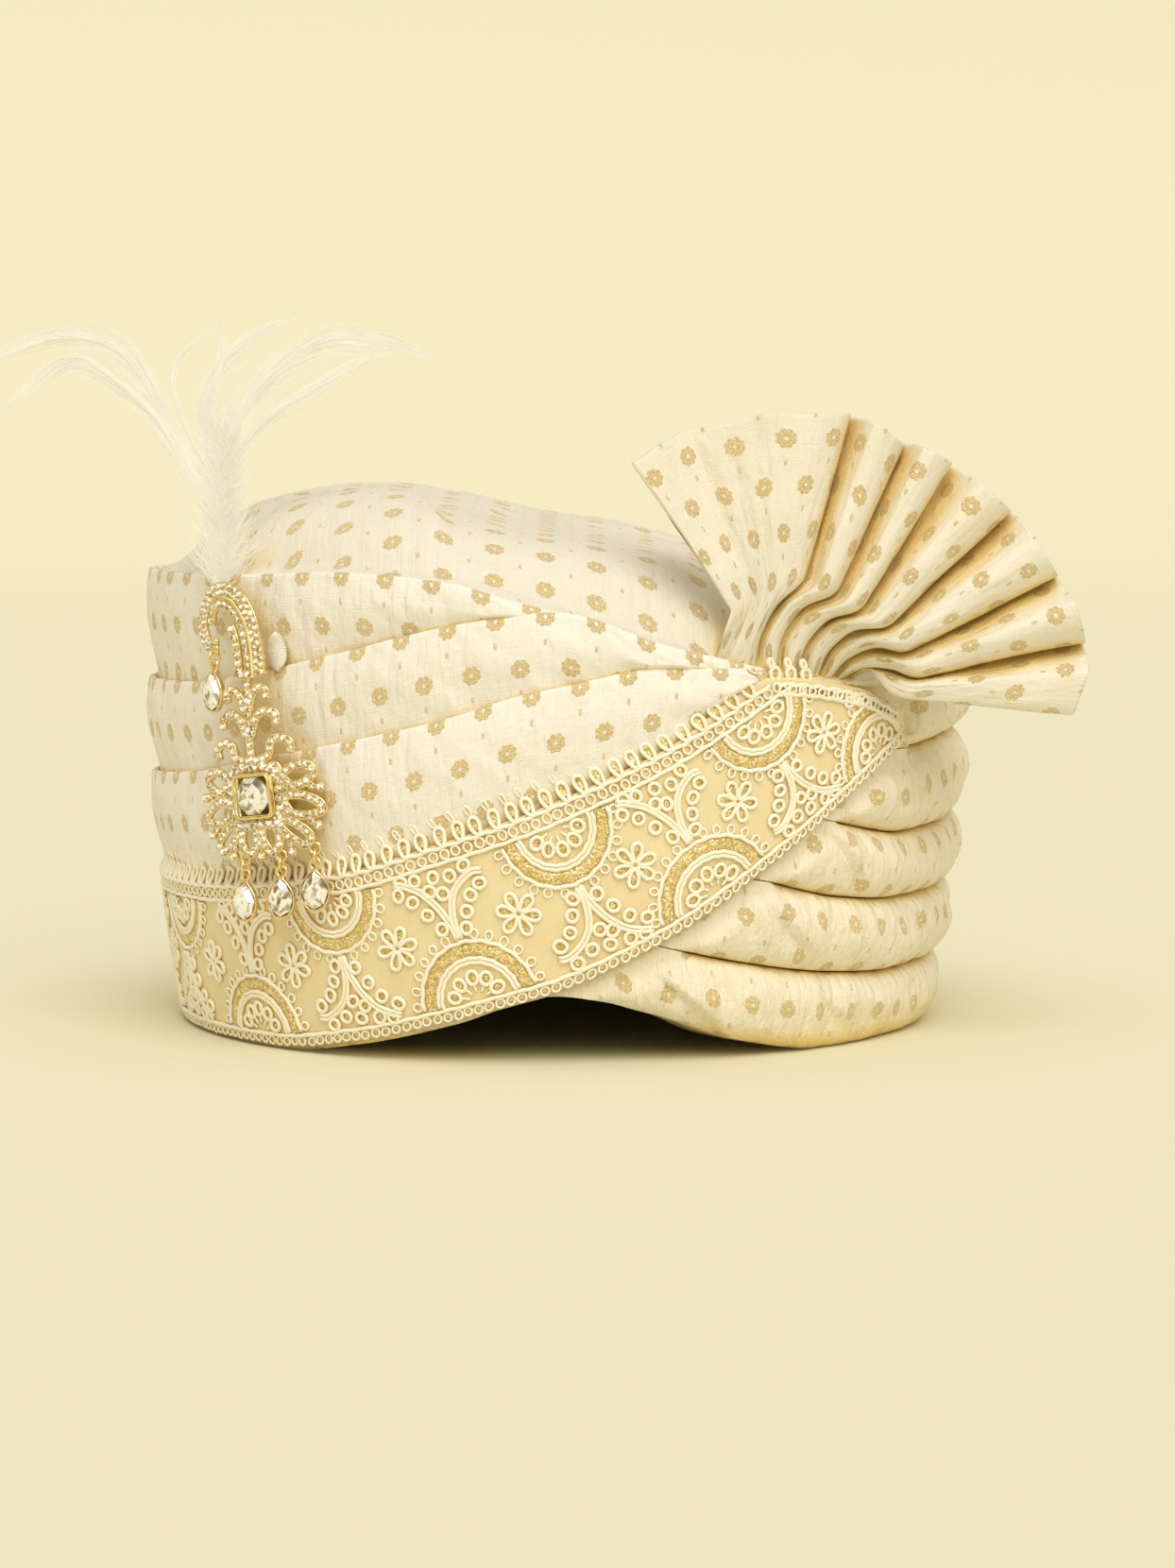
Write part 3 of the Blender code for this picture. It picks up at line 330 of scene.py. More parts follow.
def ring_shell(name, points, uvs, finish, around):
    """A closed piece whose sections, one to a row, are closed loops. around joins the last
    section to the first, and otherwise the two ends are capped."""
    rows, columns = points.shape[:2]
    faces = grid_faces(rows, columns, around, True).tolist()
    corners = corner_uvs(uvs)
    if not around:
        faces += [list(range(columns))[::-1], list(range((rows - 1) * columns, rows * columns))]
        corners = np.concatenate([corners, np.repeat(uvs[:1, 0], columns, 0),
                                  np.repeat(uvs[-1:, 0], columns, 0)])
    return make_object(name, points, faces, finish, corners)


class Heap:
    """Points and faces of many small shapes, gathered into one mesh."""

    def __init__(self):
        self.points, self.faces, self.count = [], [], 0

    def add(self, points, faces):
        points = np.asarray(points, float).reshape(-1, 3)
        self.faces += [[k + self.count for k in face] for face in faces]
        self.points.append(points)
        self.count += len(points)

    def make(self, name, finish, smooth=True):
        return make_object(name, np.concatenate(self.points), self.faces, finish, smooth=smooth)


def directions(line, closed):
    """The way that a line runs at each of its points."""
    if closed:
        return unit(np.roll(line, -1, 0) - np.roll(line, 1, 0))
    return unit(np.gradient(line, axis=0))


def tube(heap, line, normals, radius, closed=False, sides=6, flat=1.0):
    """A tube along a line. normals point away from what it lies on, and radius may be an array."""
    line = np.asarray(line, float)
    count = len(line)
    along = directions(line, closed)
    side = unit(np.cross(along, np.broadcast_to(normals, line.shape)))
    up = np.cross(side, along)
    radius = np.broadcast_to(radius, (count,))[:, None, None]
    turn = even_angles(sides)[None, :, None]
    points = line[:, None] + radius * (np.cos(turn) * side[:, None]
                                       + flat * np.sin(turn) * up[:, None])
    faces = grid_faces(count, sides, closed, True).tolist()
    if not closed:
        faces += [list(range(sides))[::-1], [(count - 1) * sides + j for j in range(sides)]]
    heap.add(points, faces)


# Shader values. Each function finds its tree from the sockets that it is given.

def feed(made, inputs):
    """Sets a node's inputs to values or links them to sockets."""
    for key, value in inputs.items():
        if isinstance(value, bpy.types.NodeSocket):
            made.id_data.links.new(value, made.inputs[key])
        else:
            made.inputs[key].default_value = value


def node(kind, inputs, tree=None, **settings):
    """A new node, fed with its inputs."""
    if tree is None:
        sockets = [v for v in inputs.values() if isinstance(v, bpy.types.NodeSocket)]
        tree = sockets[0].id_data
    made = tree.nodes.new(kind)
    for key, value in settings.items():
        setattr(made, key, value)
    feed(made, inputs)
    return made


def maths(operation, *values, clamp=False):
    return node("ShaderNodeMath", dict(enumerate(values)), operation=operation,
                use_clamp=clamp).outputs[0]


def add(first, second):
    return maths("ADD", first, second)


def minus(first, second, clamp=False):
    return maths("SUBTRACT", first, second, clamp=clamp)


def times(first, second):
    return maths("MULTIPLY", first, second)


def mix(share, first, second):
    """The mixed colour of two colours."""
    return node("ShaderNodeMix", {0: share, 6: first, 7: second}, data_type="RGBA").outputs[2]


def climb(value, low, high, start=0.0, end=1.0):
    """A smooth change from start to end as the value goes from low to high."""
    return node("ShaderNodeMapRange", {"Value": value, "From Min": low, "From Max": high,
                                       "To Min": start, "To Max": end},
                interpolation_type="SMOOTHSTEP").outputs[0]


def falloff(value, edge, width):
    """1 where the value is below the edge and 0 above it, over a width."""
    return climb(value, edge - width / 2, edge + width / 2, 1.0, 0.0)


def noise(vector, scale, detail=2.0, roughness=0.5):
    return node("ShaderNodeTexNoise", {"Vector": vector, "Scale": scale, "Detail": detail,
                                       "Roughness": roughness}).outputs["Fac"]


def drawn_noise(vector, scales, detail=2.0, roughness=0.5):
    """Noise with a scale of its own along each axis of the cloth."""
    drawn = node("ShaderNodeMapping", {"Vector": vector, "Scale": (*scales, 1.0)})
    return noise(drawn.outputs[0], 1.0, detail, roughness)


def bump(height, strength, distance):
    return node("ShaderNodeBump", {"Height": height, "Strength": strength,
                                   "Distance": distance}).outputs[0]


def vector_maths(operation, inputs):
    return node("ShaderNodeVectorMath", inputs, operation=operation)


def object_place(made):
    return node("ShaderNodeTexCoord", {}, made.node_tree).outputs["Object"]


def cloth_place(made):
    """The place on the cloth in millimetres, from UVs that are metres along the cloth."""
    uv = node("ShaderNodeUVMap", {}, made.node_tree, uv_map="cloth").outputs[0]
    return vector_maths("SCALE", {0: uv, "Scale": 1000.0}).outputs[0]


def new_material(name, colour, roughness, values=None):
    """A material and its Principled shader."""
    made = bpy.data.materials.new(name)
    made.use_nodes = True
    made.diffuse_color = (*colour, 1.0)
    shader = made.node_tree.nodes["Principled BSDF"]
    feed(shader, {"Base Color": (*colour, 1.0), "Roughness": roughness, **(values or {})})
    return made, shader


# Materials

# Warm tints for painted shade. An ambient-occlusion mask mixes them into colours in creases, folds
# and laps.
PAINTED_FOLD_SHADE = (0.88, 0.68, 0.25, 1.0)
PAINTED_GROUND_FOLD_SHADE = (0.66, 0.44, 0.14, 1.0)


def with_painted_fold_shade(colour, reach, tint):
    """The colour with painted shade: a warm tint mixed in where an ambient-occlusion mask finds
    creases, folds and laps, standing in for light that reaches them only through and between layers
    of cloth.
    """
    opened = node("ShaderNodeAmbientOcclusion", {"Distance": reach}, colour.id_data, samples=6)
    return mix(times(falloff(opened.outputs["AO"], 0.46, 0.66), 0.95), colour, tint)


def cloth_material(name, colour, shade, pitch, shear, crinkle):
    """Cream cloth with small woven gold rosettes on a lattice, and dashes between them. shear
    moves each row along by a share of the pitch, which is in millimetres."""
    made, shader = new_material(name, colour, 0.82, {
        "Sheen Weight": 0.25, "Sheen Roughness": 0.45, "Sheen Tint": (1.0, 0.93, 0.78, 1.0),
        "Specular IOR Level": 0.2})
    place = cloth_place(made)
    split = node("ShaderNodeSeparateXYZ", {0: place}).outputs

    def centred(cells):
        return times(minus(maths("FRACT", cells), 0.5), pitch)

    def lattice(shift):
        """Places in the cell of the lattice. Rows move along in steps, so cells stay square."""
        cells = add(maths("DIVIDE", split[1], pitch), shift)
        moved = add(split[0], times(maths("FLOOR", cells), shear * pitch))
        return centred(add(maths("DIVIDE", moved, pitch), shift)), centred(cells)

    x, y = lattice(0.5)
    radius = maths("SQRT", add(times(x, x), times(y, y)))
    lobes = maths("ABSOLUTE", maths("SINE", times(maths("ARCTAN2", y, x), 4.0)))
    ring = falloff(minus(radius, add(times(lobes, 0.50), 2.35)), 0.0, 0.25)
    gap = times(falloff(lobes, 0.16, 0.2), maths("GREATER_THAN", radius, 1.45))
    petals = minus(minus(ring, falloff(radius, 0.60, 0.25), True), times(gap, 0.6), True)
    dx, dy = lattice(0.0)
    dash = times(falloff(maths("ABSOLUTE", dx), 0.42, 0.2),
                 falloff(maths("ABSOLUTE", dy), 0.85, 0.4))
    twill = maths("SINE", times(add(times(x, 0.8), y), 13.0))
    fleck = noise(place, 2.2, 1.0)
    thread = add(times(twill, 0.14), fleck)
    gold = times(maths("MAXIMUM", petals, times(dash, 0.8)),
                 add(times(falloff(thread, 0.44, 0.2), -0.5), 1.0))
    weave = add(drawn_noise(place, (0.12, 2.2)), drawn_noise(place, (2.6, 0.10)))
    folds = drawn_noise(place, (0.24, 0.040), 2.0, 0.45)
    puckers = drawn_noise(place, (0.42, 0.22), 3.0, 0.6)
    tint = add(times(weave, 0.30), times(add(noise(place, 0.035, 3.0), folds), 0.75))
    base = mix(minus(tint, 0.55, True), (*colour, 1.0), (*shade, 1.0))
    thread_gold = mix(falloff(fleck, 0.53, 0.14), (1.0, 0.88, 0.54, 1.0),
                      (0.74, 0.47, 0.10, 1.0))
    fine = add(times(weave, 0.14), times(times(gold, thread), 0.35))
    height = add(fine, times(add(folds, times(puckers, 0.45)), crinkle))
    # The cloth's colour carries painted warm shade in its folds and laps, from an ambient-occlusion
    # mask.
    feed(shader, {"Base Color": mix(gold, with_painted_fold_shade(base, 0.016, PAINTED_FOLD_SHADE), thread_gold),
                  "Metallic": times(gold, 0.14), "Roughness": minus(0.82, times(gold, 0.42)),
                  "Normal": bump(height, 0.8, 0.0016)})
    return made


def ground_material():
    """The border's fine gold ground: thin silk with a faint metallic weave."""
    made, shader = new_material("border_ground", (0.70, 0.53, 0.25), 0.62, {
        "Sheen Weight": 0.25, "Sheen Roughness": 0.4, "Sheen Tint": (1.0, 0.9, 0.65, 1.0)})
    place = cloth_place(made)
    grain = noise(place, 3.2)
    threads = drawn_noise(place, (3.5, 0.15), 1.0)
    share = minus(add(times(noise(place, 0.09, 3.0), 0.9), times(threads, 0.5)), 0.25, True)
    base = mix(share, (0.86, 0.755, 0.50, 1.0), (0.77, 0.63, 0.35, 1.0))
    sparkle = falloff(times(grain, -1.0), -0.64, 0.06)
    # Painted warm shade in the ground's folds, from an ambient-occlusion mask.
    base = mix(sparkle, with_painted_fold_shade(base, 0.006, PAINTED_GROUND_FOLD_SHADE), (0.95, 0.80, 0.48, 1.0))
    feed(shader, {"Base Color": base, "Metallic": times(sparkle, 0.6),
                  "Normal": bump(add(threads, grain), 0.5, 0.0003)})
    return made


def cord_material():
    """Cream twisted cord."""
    made, shader = new_material("embroidery_cord", (0.93, 0.87, 0.72), 0.75,
                                {"Sheen Weight": 0.3, "Sheen Roughness": 0.4})
    place = object_place(made)
    plies = noise(place, 2600.0, 1.0)
    base = mix(times(add(plies, noise(place, 90.0)), 0.5), (0.99, 0.96, 0.86, 1.0),
               (0.92, 0.86, 0.70, 1.0))
    # Painted warm shade where the cord lies in hollows, from an ambient-occlusion mask.
    feed(shader, {"Base Color": with_painted_fold_shade(base, 0.003, PAINTED_FOLD_SHADE),
                  "Normal": bump(plies, 0.6, 0.0003)})
    return made


def zari_material():
    """Dense gold thread work: threads in a range of gold tones, and a painted glint of pale gold on
    a few random threads.
    """
    made, shader = new_material("zari", (0.62, 0.42, 0.14), 0.36, {"Metallic": 0.40})
    place = object_place(made)
    cells = node("ShaderNodeTexVoronoi", {"Vector": place, "Scale": 2200.0})
    tone = node("ShaderNodeSeparateColor", {0: cells.outputs["Color"]}).outputs[0]
    knots = noise(place, 900.0)
    dark = mix(tone, (0.60, 0.40, 0.10, 1.0), (1.0, 0.80, 0.36, 1.0))
    # Painted glints: a few random threads are turned pale gold.
    painted_glint = maths("GREATER_THAN", add(tone, knots), 1.22)
    feed(shader, {"Base Color": mix(painted_glint, dark, (1.0, 0.90, 0.62, 1.0)),
                  "Normal": bump(add(tone, times(knots, 1.5)), 0.9, 0.0006)})
    return made


def gold_material():
    """Polished plate with faint tooling; one grain noise sets its bumps and mottles its tone and
    roughness, darker and rougher where the grain is higher.
    """
    made, shader = new_material("brooch_gold", (0.86, 0.62, 0.24), 0.20, {"Metallic": 1.0})
    grain = noise(object_place(made), 700.0)
    feed(shader, {"Base Color": mix(grain, (0.97, 0.84, 0.48, 1.0), (0.86, 0.64, 0.26, 1.0)),
                  "Roughness": add(times(grain, 0.18), 0.12),
                  "Normal": bump(grain, 0.25, 0.0002)})
    return made


def crystal_material(name, reflection_stops, metallic):
    """Foil-backed cut crystal with painted reflections: each facet's colour, bright or dark, is
    picked by its normal and place, standing in for the foil's flashes.
    """
    made, shader = new_material(name, (0.93, 0.92, 0.88), 0.04, {
        "Specular IOR Level": 0.9, "Coat Weight": 0.8, "Coat Roughness": 0.02,
        "Metallic": metallic})
    # Painted reflections: the facet's normal and place pick a bright or dark colour from the ramp.
    normal = node("ShaderNodeNewGeometry", {}, made.node_tree).outputs["True Normal"]
    spots = vector_maths("SCALE", {0: object_place(made), "Scale": 90.0}).outputs[0]
    facet_reflection = noise(vector_maths("ADD", {0: normal, 1: spots}).outputs[0], 3.1, 1.0)
    ramp = node("ShaderNodeValToRGB", {0: facet_reflection})
    while len(ramp.color_ramp.elements) < len(reflection_stops):
        ramp.color_ramp.elements.new(0.5)
    for stop, (at, colour) in zip(ramp.color_ramp.elements, reflection_stops):
        stop.position = at
        stop.color = (*colour, 1.0)
    feed(shader, {"Base Color": ramp.outputs[0]})
    return made


def feather_material():
    """White down, a little see-through against the light, with a painted glow: a weak emission that
    lifts its shaded strands.
    """
    # The emission is a painted glow, standing in for light scattered through the down.
    made, shader = new_material("feather_down", (0.95, 0.93, 0.84), 0.85, {
        "Emission Color": (0.93, 0.90, 0.77, 1.0), "Emission Strength": 0.24})
    tone = noise(object_place(made), 60.0)
    feed(shader, {"Base Color": mix(tone, (0.82, 0.81, 0.78, 1.0), (0.69, 0.67, 0.60, 1.0))})
    thin = node("ShaderNodeBsdfTranslucent", {"Color": (0.85, 0.83, 0.77, 1.0)}, made.node_tree)
    blend = node("ShaderNodeMixShader", {0: 0.30, 1: shader.outputs[0], 2: thin.outputs[0]})
    feed(made.node_tree.nodes["Material Output"], {0: blend.outputs[0]})
    return made


def thread_material():
    """White thread, wound close."""
    made, shader = new_material("pad_thread", (0.93, 0.91, 0.84), 0.7, {"Sheen Weight": 0.3})
    strands = noise(object_place(made), 1800.0, 1.0)
    feed(shader, {"Base Color": mix(strands, (0.97, 0.96, 0.91, 1.0), (0.84, 0.80, 0.68, 1.0)),
                  "Normal": bump(strands, 0.5, 0.0003)})
    return made


# Copies of one cream cloth. The crown's copy is darker than the wraps' to offset the stronger light
# that falls on the top. The rolls' copy is yellower to stand in for the shade on them. Both are
# painted shade.
CLOTH = cloth_material("wrap_cloth", (0.90, 0.88, 0.855), (0.86, 0.80, 0.71), 14.5, 0.5, 0.95)
CROWN_CLOTH = cloth_material("crown_cloth", (0.805, 0.78, 0.71), (0.77, 0.715, 0.59), 14.6, 0.0,
                             0.7)
FAN_CLOTH = cloth_material("fan_cloth", (0.835, 0.805, 0.735), (0.81, 0.745, 0.59), 13.5, 0.5,
                           0.8)
ROLL_CLOTH = cloth_material("roll_cloth", (0.89, 0.835, 0.72), (0.84, 0.75, 0.56), 14.6, 0.5, 1.8)
GROUND = ground_material()
CORD = cord_material()
ZARI = zari_material()
GOLD = gold_material()
# Ramp stops of the painted reflections: the dark and bright colours that the facets show.
CRYSTAL = crystal_material("crystal", (
    (0.32, (0.20, 0.15, 0.08)), (0.42, (0.55, 0.47, 0.34)), (0.48, (0.96, 0.94, 0.88)),
    (0.60, (1.0, 0.99, 0.97)), (0.68, (0.45, 0.37, 0.25))), 0.35)
SMALL_CRYSTAL = crystal_material("small_crystal", (
    (0.39, (0.24, 0.16, 0.06)), (0.44, (0.78, 0.66, 0.42)), (0.47, (1.0, 1.0, 0.99)),
    (0.57, (1.0, 1.0, 0.99)), (0.63, (0.46, 0.33, 0.14))), 0.05)
FEATHER = feather_material()
THREAD = thread_material()


# Rolls

def roll_piece(index):
    """One padded ring, with gathers across it and a few slanting creases."""
    azimuth = np.linspace(-180.0, 180.0, 720, endpoint=False)[:, None]
    low = WALLS[index](azimuth) + (CLEARANCE if index else 0.0)
    top = WALLS[index + 1](azimuth)
    share = (1 + np.cos(np.linspace(0.0, np.pi, 27)))[None, :] / 2
    z = low + (top - low) * share
    belly = 2 * share**0.86 - 1
    groove = 1 - np.sqrt(np.clip(1 - belly**2, 0.0, 1.0))
    deep = np.full(z.shape, GROOVE_DEPTH)
    if index == 4:
        deep = np.where(share > 0.5, TOP_ROUNDING, deep)
    if index == 0:
        deep = np.where(share < 0.5, RIM_ROUNDING, deep)
    turn = azimuth / 360.0 + 0.5
    slant = turn + 0.012 * share
    broad = noise_field(64, 3, 11 + index)(slant, share)
    fine = noise_field(170, 2, 31 + index)(slant, share)
    hair = noise_field(330, 2, 51 + index)(slant, share)
    full = np.sin(np.pi * np.clip(share, 0.0, 1.0)) ** 0.6
    drift = noise_field(90, 1, 91 + index)(turn, share)
    ribs = np.sin(2 * np.pi * 150 * (slant + 0.0035 * drift + 0.006 * share)) * (0.5 + 0.5 * fine)
    ripple = (0.85 * broad + 0.80 * fine + 0.40 * hair + 0.30 * ribs) * MM * (0.35 + 0.65 * full)
    for (start, low_z), (end, high_z), size in CREASES:
        reach = (z / MM - low_z) / (high_z - low_z)
        away = (azimuth - start - (end - start) * reach) * 2.2
        held = smoothstep(1.5 - np.abs(2 * reach - 1)) * (reach > -0.3) * (reach < 1.3)
        ripple = ripple + size * MM * np.tanh(away / 0.5) * np.exp(-np.abs(away) / 8) * held
    covered = cover(azimuth, z)
    under = bed(azimuth, z) + CLEARANCE
    depth = (groove * deep - ripple) * (1 - covered) + under * covered
    face = on_body(azimuth, z, depth)
    inner_share = np.linspace(0.0, 1.0, 9)[None, :]
    inner_z = low + (top - low) * inner_share
    recess = 0.0028 * np.abs(2 * inner_share - 1) ** 5
    lining = noise_field(120, 2, 71 + index)(turn, inner_share) * 0.0003
    angle = np.radians(azimuth)
    hollow_x = (HEAD_HALF_WIDTH + recess + 0.0003 + lining) * np.sin(angle)
    hollow_y = -(HEAD_HALF_DEPTH + recess + 0.0003 + lining) * np.cos(angle)
    inner = np.stack(np.broadcast_arrays(hollow_x, hollow_y, inner_z), -1)
    points = np.concatenate([face, inner], 1)
    along = np.radians(np.concatenate([azimuth, [[180.0]]])) * (BODY_HALF_WIDTH + 0.006)
    across = run_along(np.concatenate([points, points[:, :1]], 1), 1)
    across = np.concatenate([across, across[:1]])
    uvs = np.stack(np.broadcast_arrays(along + 0.004 * index, across + 0.0035 * (index % 3)), -1)
    name = f"roll_{index + 1}"
    piece = fit(ring_shell(f"{name}_cloth", points, uvs, ROLL_CLOTH, True), "cloth", name)
    return piece


# Slanting creases in the rolls, each from a lower to an upper place (azimuth, millimetres up),
# with the height of the step to its right.
CREASES = (
    ((28.0, 3.0), (14.5, 26.0), 1.6), ((47.5, 48.0), (40.0, 68.0), 1.6),
    ((38.0, 30.0), (31.0, 44.0), 1.2), ((62.0, 70.0), (55.0, 86.0), 1.2),
    ((48.0, 6.0), (40.0, 19.0), 0.6), ((70.0, 28.0), (60.0, 41.0), 0.6),
    ((128.0, 10.0), (118.0, 24.0), 0.8), ((156.0, 60.0), (146.0, 78.0), 0.8),
)
ROLLS = [roll_piece(i) for i in range(5)]


# Wraps and border

def strip_piece(name, edge, finish, thickness, seed, slot):
    """A lapped strip as a closed sheet with a soft folded top edge and fine gathers."""
    start, end = WRAP_STARTS[edge], WRAP_ENDS[edge]
    azimuth = np.arange(start, end + 0.01, 0.6)[:, None]
    low, top = strip_edges(edge, azimuth)
    height = top - low
    rise = np.concatenate([np.linspace(0.0, 0.86, 22), np.linspace(0.9, 1.0, 7)])[None, :]
    z = low + height * rise
    turn = (azimuth - start) / (end - start)
    span = (end - start) / 360.0
    lean = turn + 0.05 * rise * (1 + turn)
    broad = noise_field(int(60 * span) + 4, 2, seed)(lean % 1.0, rise)
    fine = noise_field(int(190 * span) + 4, 3, seed + 1)(lean % 1.0, rise)
    foot = smoothstep(rise / 0.3)
    if edge == "border":
        ripple = (0.16 * broad + 0.05 * fine) * MM * foot
    else:
        gather = smoothstep((azimuth + 40) / 60.0)
        ripple = (0.42 * broad + (0.20 + 0.16 * gather) * fine) * MM * foot
        ripple = ripple + 0.0009 * foot * np.sin(np.pi * np.clip((rise - 0.25) / 0.75, 0, 1)) ** 0.8
    outer = on_body(azimuth, z, strip_depth(edge, azimuth, z) - ripple)
    outward = outward_at(azimuth, z)
    half = thickness / 2
    bend = np.linspace(0.0, np.pi, 7)[None, 1:-1]
    heel = outer[:, -1:] - outward[:, -1:] * half
    cap = (heel + outward[:, -1:] * (np.cos(bend) * half)[..., None]
           + UP * (np.sin(bend) * half)[..., None])
    back = (outer - outward * thickness)[:, ::-1][:, ::3]
    points = np.concatenate([outer, cap, back], 1)
    lines = run_along(np.concatenate([points, points[:, :1]], 1), 1)
    lines = lines - lines[:, outer.shape[1] - 1:outer.shape[1]]
    along = run_along(on_body(azimuth, (low + top) / 2)[:, 0])
    uvs = np.stack(np.broadcast_arrays(along[:, None], lines), -1)
    piece = fit(ring_shell(f"{name}_cloth", points, uvs, finish, False), slot, name)
    return piece, (float(run_along(outer, 1)[:, -1].max()), float(along[-1]))


UPPER, UPPER_CUT = strip_piece("upper_wrap", "upper", CLOTH, WRAP_THICKNESS, 101, "cloth")
MIDDLE, MIDDLE_CUT = strip_piece("middle_wrap", "middle", CLOTH, WRAP_THICKNESS, 111, "cloth")
LOW, LOW_CUT = strip_piece("low_wrap", "low", CLOTH, WRAP_THICKNESS, 121, "cloth")
BORDER, BORDER_CUT = strip_piece("border", "border", GROUND, BORDER_THICKNESS, 131, "border")


# Embroidery, laid out along the band

BAND_TOP = smooth_curve(
    np.concatenate([WRAP_TABLE[:15, 0], [45.0, 55.0, 66.0]]),
    np.concatenate([WRAP_TABLE[:15, 2], [0.925, 1.03, 1.15]]) * BODY_HEIGHT)
BAND_LOW = smooth_curve(
    np.concatenate([WRAP_TABLE[:, 0], [66.0]]),
    np.concatenate([WRAP_TABLE[:, 1], [0.76]]) * BODY_HEIGHT)


class Band:
    """The border's strip rolled out flat, in millimetres along its middle and across it."""

    def __init__(self):
        self.azimuth = np.arange(-170.0, 66.0, 0.25)
        middle = (BAND_TOP(self.azimuth) + BAND_LOW(self.azimuth)) / 2
        self.round = run_along(on_body(self.azimuth, middle)[:, :2])
        places = np.stack([self.round, middle], -1)
        self.s = run_along(places) / MM
        slope = np.gradient(middle, self.round)
        slope = np.convolve(np.pad(slope, 20, "edge"), np.ones(41) / 41, "valid")
        normal = unit(np.stack([-slope, np.ones(len(slope))], -1))
        down, up = np.zeros(len(middle)), np.zeros(len(middle))
        for _ in range(8):
            below, above = places - normal * down[:, None], places + normal * up[:, None]
            down = (middle - BAND_LOW(self.at_round(below[:, 0]))) / normal[:, 1]
            up = (BAND_TOP(self.at_round(above[:, 0])) - middle) / normal[:, 1]
        self.table = np.column_stack([places, normal, down, up])

    def at_round(self, distance):
        return np.interp(distance, self.round, self.azimuth)

    def wall(self, s, w):
        """Azimuth and height of places on the band."""
        s, w = np.broadcast_arrays(np.asarray(s, float), w)
        x, z, normal_x, normal_z, down, up = np.moveaxis(read_at(s, self.s, self.table), -1, 0)
        off = 2 * w / BAND_WIDTH - 1
        reach = off * np.where(off < 0, down, up)
        return self.at_round(x + normal_x * reach), z + normal_z * reach

    def find(self, azimuth, z, w):
        """The place along the band whose point at w is nearest to a place on the wall."""
        angles, heights = self.wall(self.s, w)
        far = np.hypot((angles - azimuth) * 2.2, (heights - z) / MM)
        return float(self.s[np.argmin(far)])


band = Band()


def face_depth(azimuth, z):
    """Depth of what the embroidery lies on: the border, or above it the low wrap."""
    top = STRIPS["border"](azimuth)
    inside = strip_depth("border", azimuth, np.minimum(z, top))
    beyond = strip_depth("low", azimuth, z)
    return inside + (beyond - inside) * smoothstep((z - top + 0.0002) / 0.0045)


def lay(s, w, lift):
    """Points on the cloth at a height above it, the way that it faces, and its place."""
    azimuth, z = band.wall(s, w)
    points = on_body(azimuth, z, face_depth(azimuth, z) - lift)
    return points, outward_at(azimuth, z), azimuth, z


rng = np.random.default_rng(7)
cords = Heap()
zari = Heap()


def allowed(azimuth, z):
    """Whether a place is on the border and clear of the fan, or on the fringe above it."""
    cut = STRIPS["border"](azimuth) - 0.0006
    return (azimuth > -166.5) & (azimuth < 54.0) & ((azimuth < 29.0) | (z < cut))


def cord(points, closed=False, radius=CORD_RADIUS, sides=6):
    """A cord along places on the band. A closed one that isn't all allowed is left out."""
    points = np.asarray(points, float)
    placed, outward, azimuth, z = lay(points[:, 0], points[:, 1], radius * 0.75 * MM)
    good = allowed(azimuth, z)
    if closed:
        if good.all():
            tube(cords, placed, outward, radius * MM, True, sides)
        return
    edges = np.flatnonzero(np.diff(np.concatenate([[0], good.astype(int), [0]])))
    for first, last in zip(edges[::2], edges[1::2]):
        if last - first > 2:
            tube(cords, placed[first:last], outward[first:last], radius * MM, False, sides)


def loop(s, w, long, wide, turn=0.0, count=12, gold=True, radius=CORD_RADIUS):
    """An oval of cord, with gold thread inside it."""
    s, w = s + rng.normal(0, 0.12), w + rng.normal(0, 0.12)
    long, wide = long * rng.uniform(0.94, 1.07), wide * rng.uniform(0.94, 1.07)
    turn = turn + rng.normal(0, 0.10)
    angle = even_angles(count)
    x, y = turned(long / 2 * np.cos(angle), wide / 2 * np.sin(angle), turn)
    cord(np.stack([s + x, w + y], -1), True, radius, 6 if gold else 5)
    if gold:
        dot(s, w, long / 2 - radius * 0.8, wide / 2 - radius * 0.8, turn)


def dot(s, w, long, wide, turn=0.0):
    """A low cushion of gold thread."""
    angle = even_angles(8)
    points = []
    for share, lift in ((1.0, 0.02), (0.62, 0.34)):
        x, y = turned(long * share * np.cos(angle), wide * share * np.sin(angle), turn)
        placed, _, azimuth, z = lay(s + x, w + y, lift * MM)
        if not allowed(azimuth, z).all():
            return
        points.append(placed)
    points.append(lay(np.array([s]), np.array([w]), 0.40 * MM)[0])
    faces = grid_faces(2, 8, False, True).tolist()
    zari.add(np.concatenate(points), faces + [(8 + k, 8 + (k + 1) % 8, 16) for k in range(8)])


def drop_outline(reach, wide, turn, count=12):
    """A loop with a point at its root, that opens towards an angle."""
    angle = even_angles(count)
    y = wide / 2 * np.sin(angle) * (0.35 + 0.65 * np.sin(angle / 2) ** 1.5)
    return turned(reach * (1 - np.cos(angle)) / 2, y, turn)


def drop_loop(s, w, reach, wide, turn, gold=True, count=12, radius=CORD_RADIUS):
    """A pointed loop of cord from a place on the band, with gold thread inside it."""
    turn = turn + rng.normal(0, 0.07)
    x, y = drop_outline(reach, wide, turn, count)
    cord(np.stack([s + x, w + y], -1), True, radius, 6 if gold else 5)
    if gold:
        x, y = turned(0.58 * reach, 0.0, turn)
        dot(s + x, w + y, reach * 0.32, wide / 2 - radius * 0.9, turn)


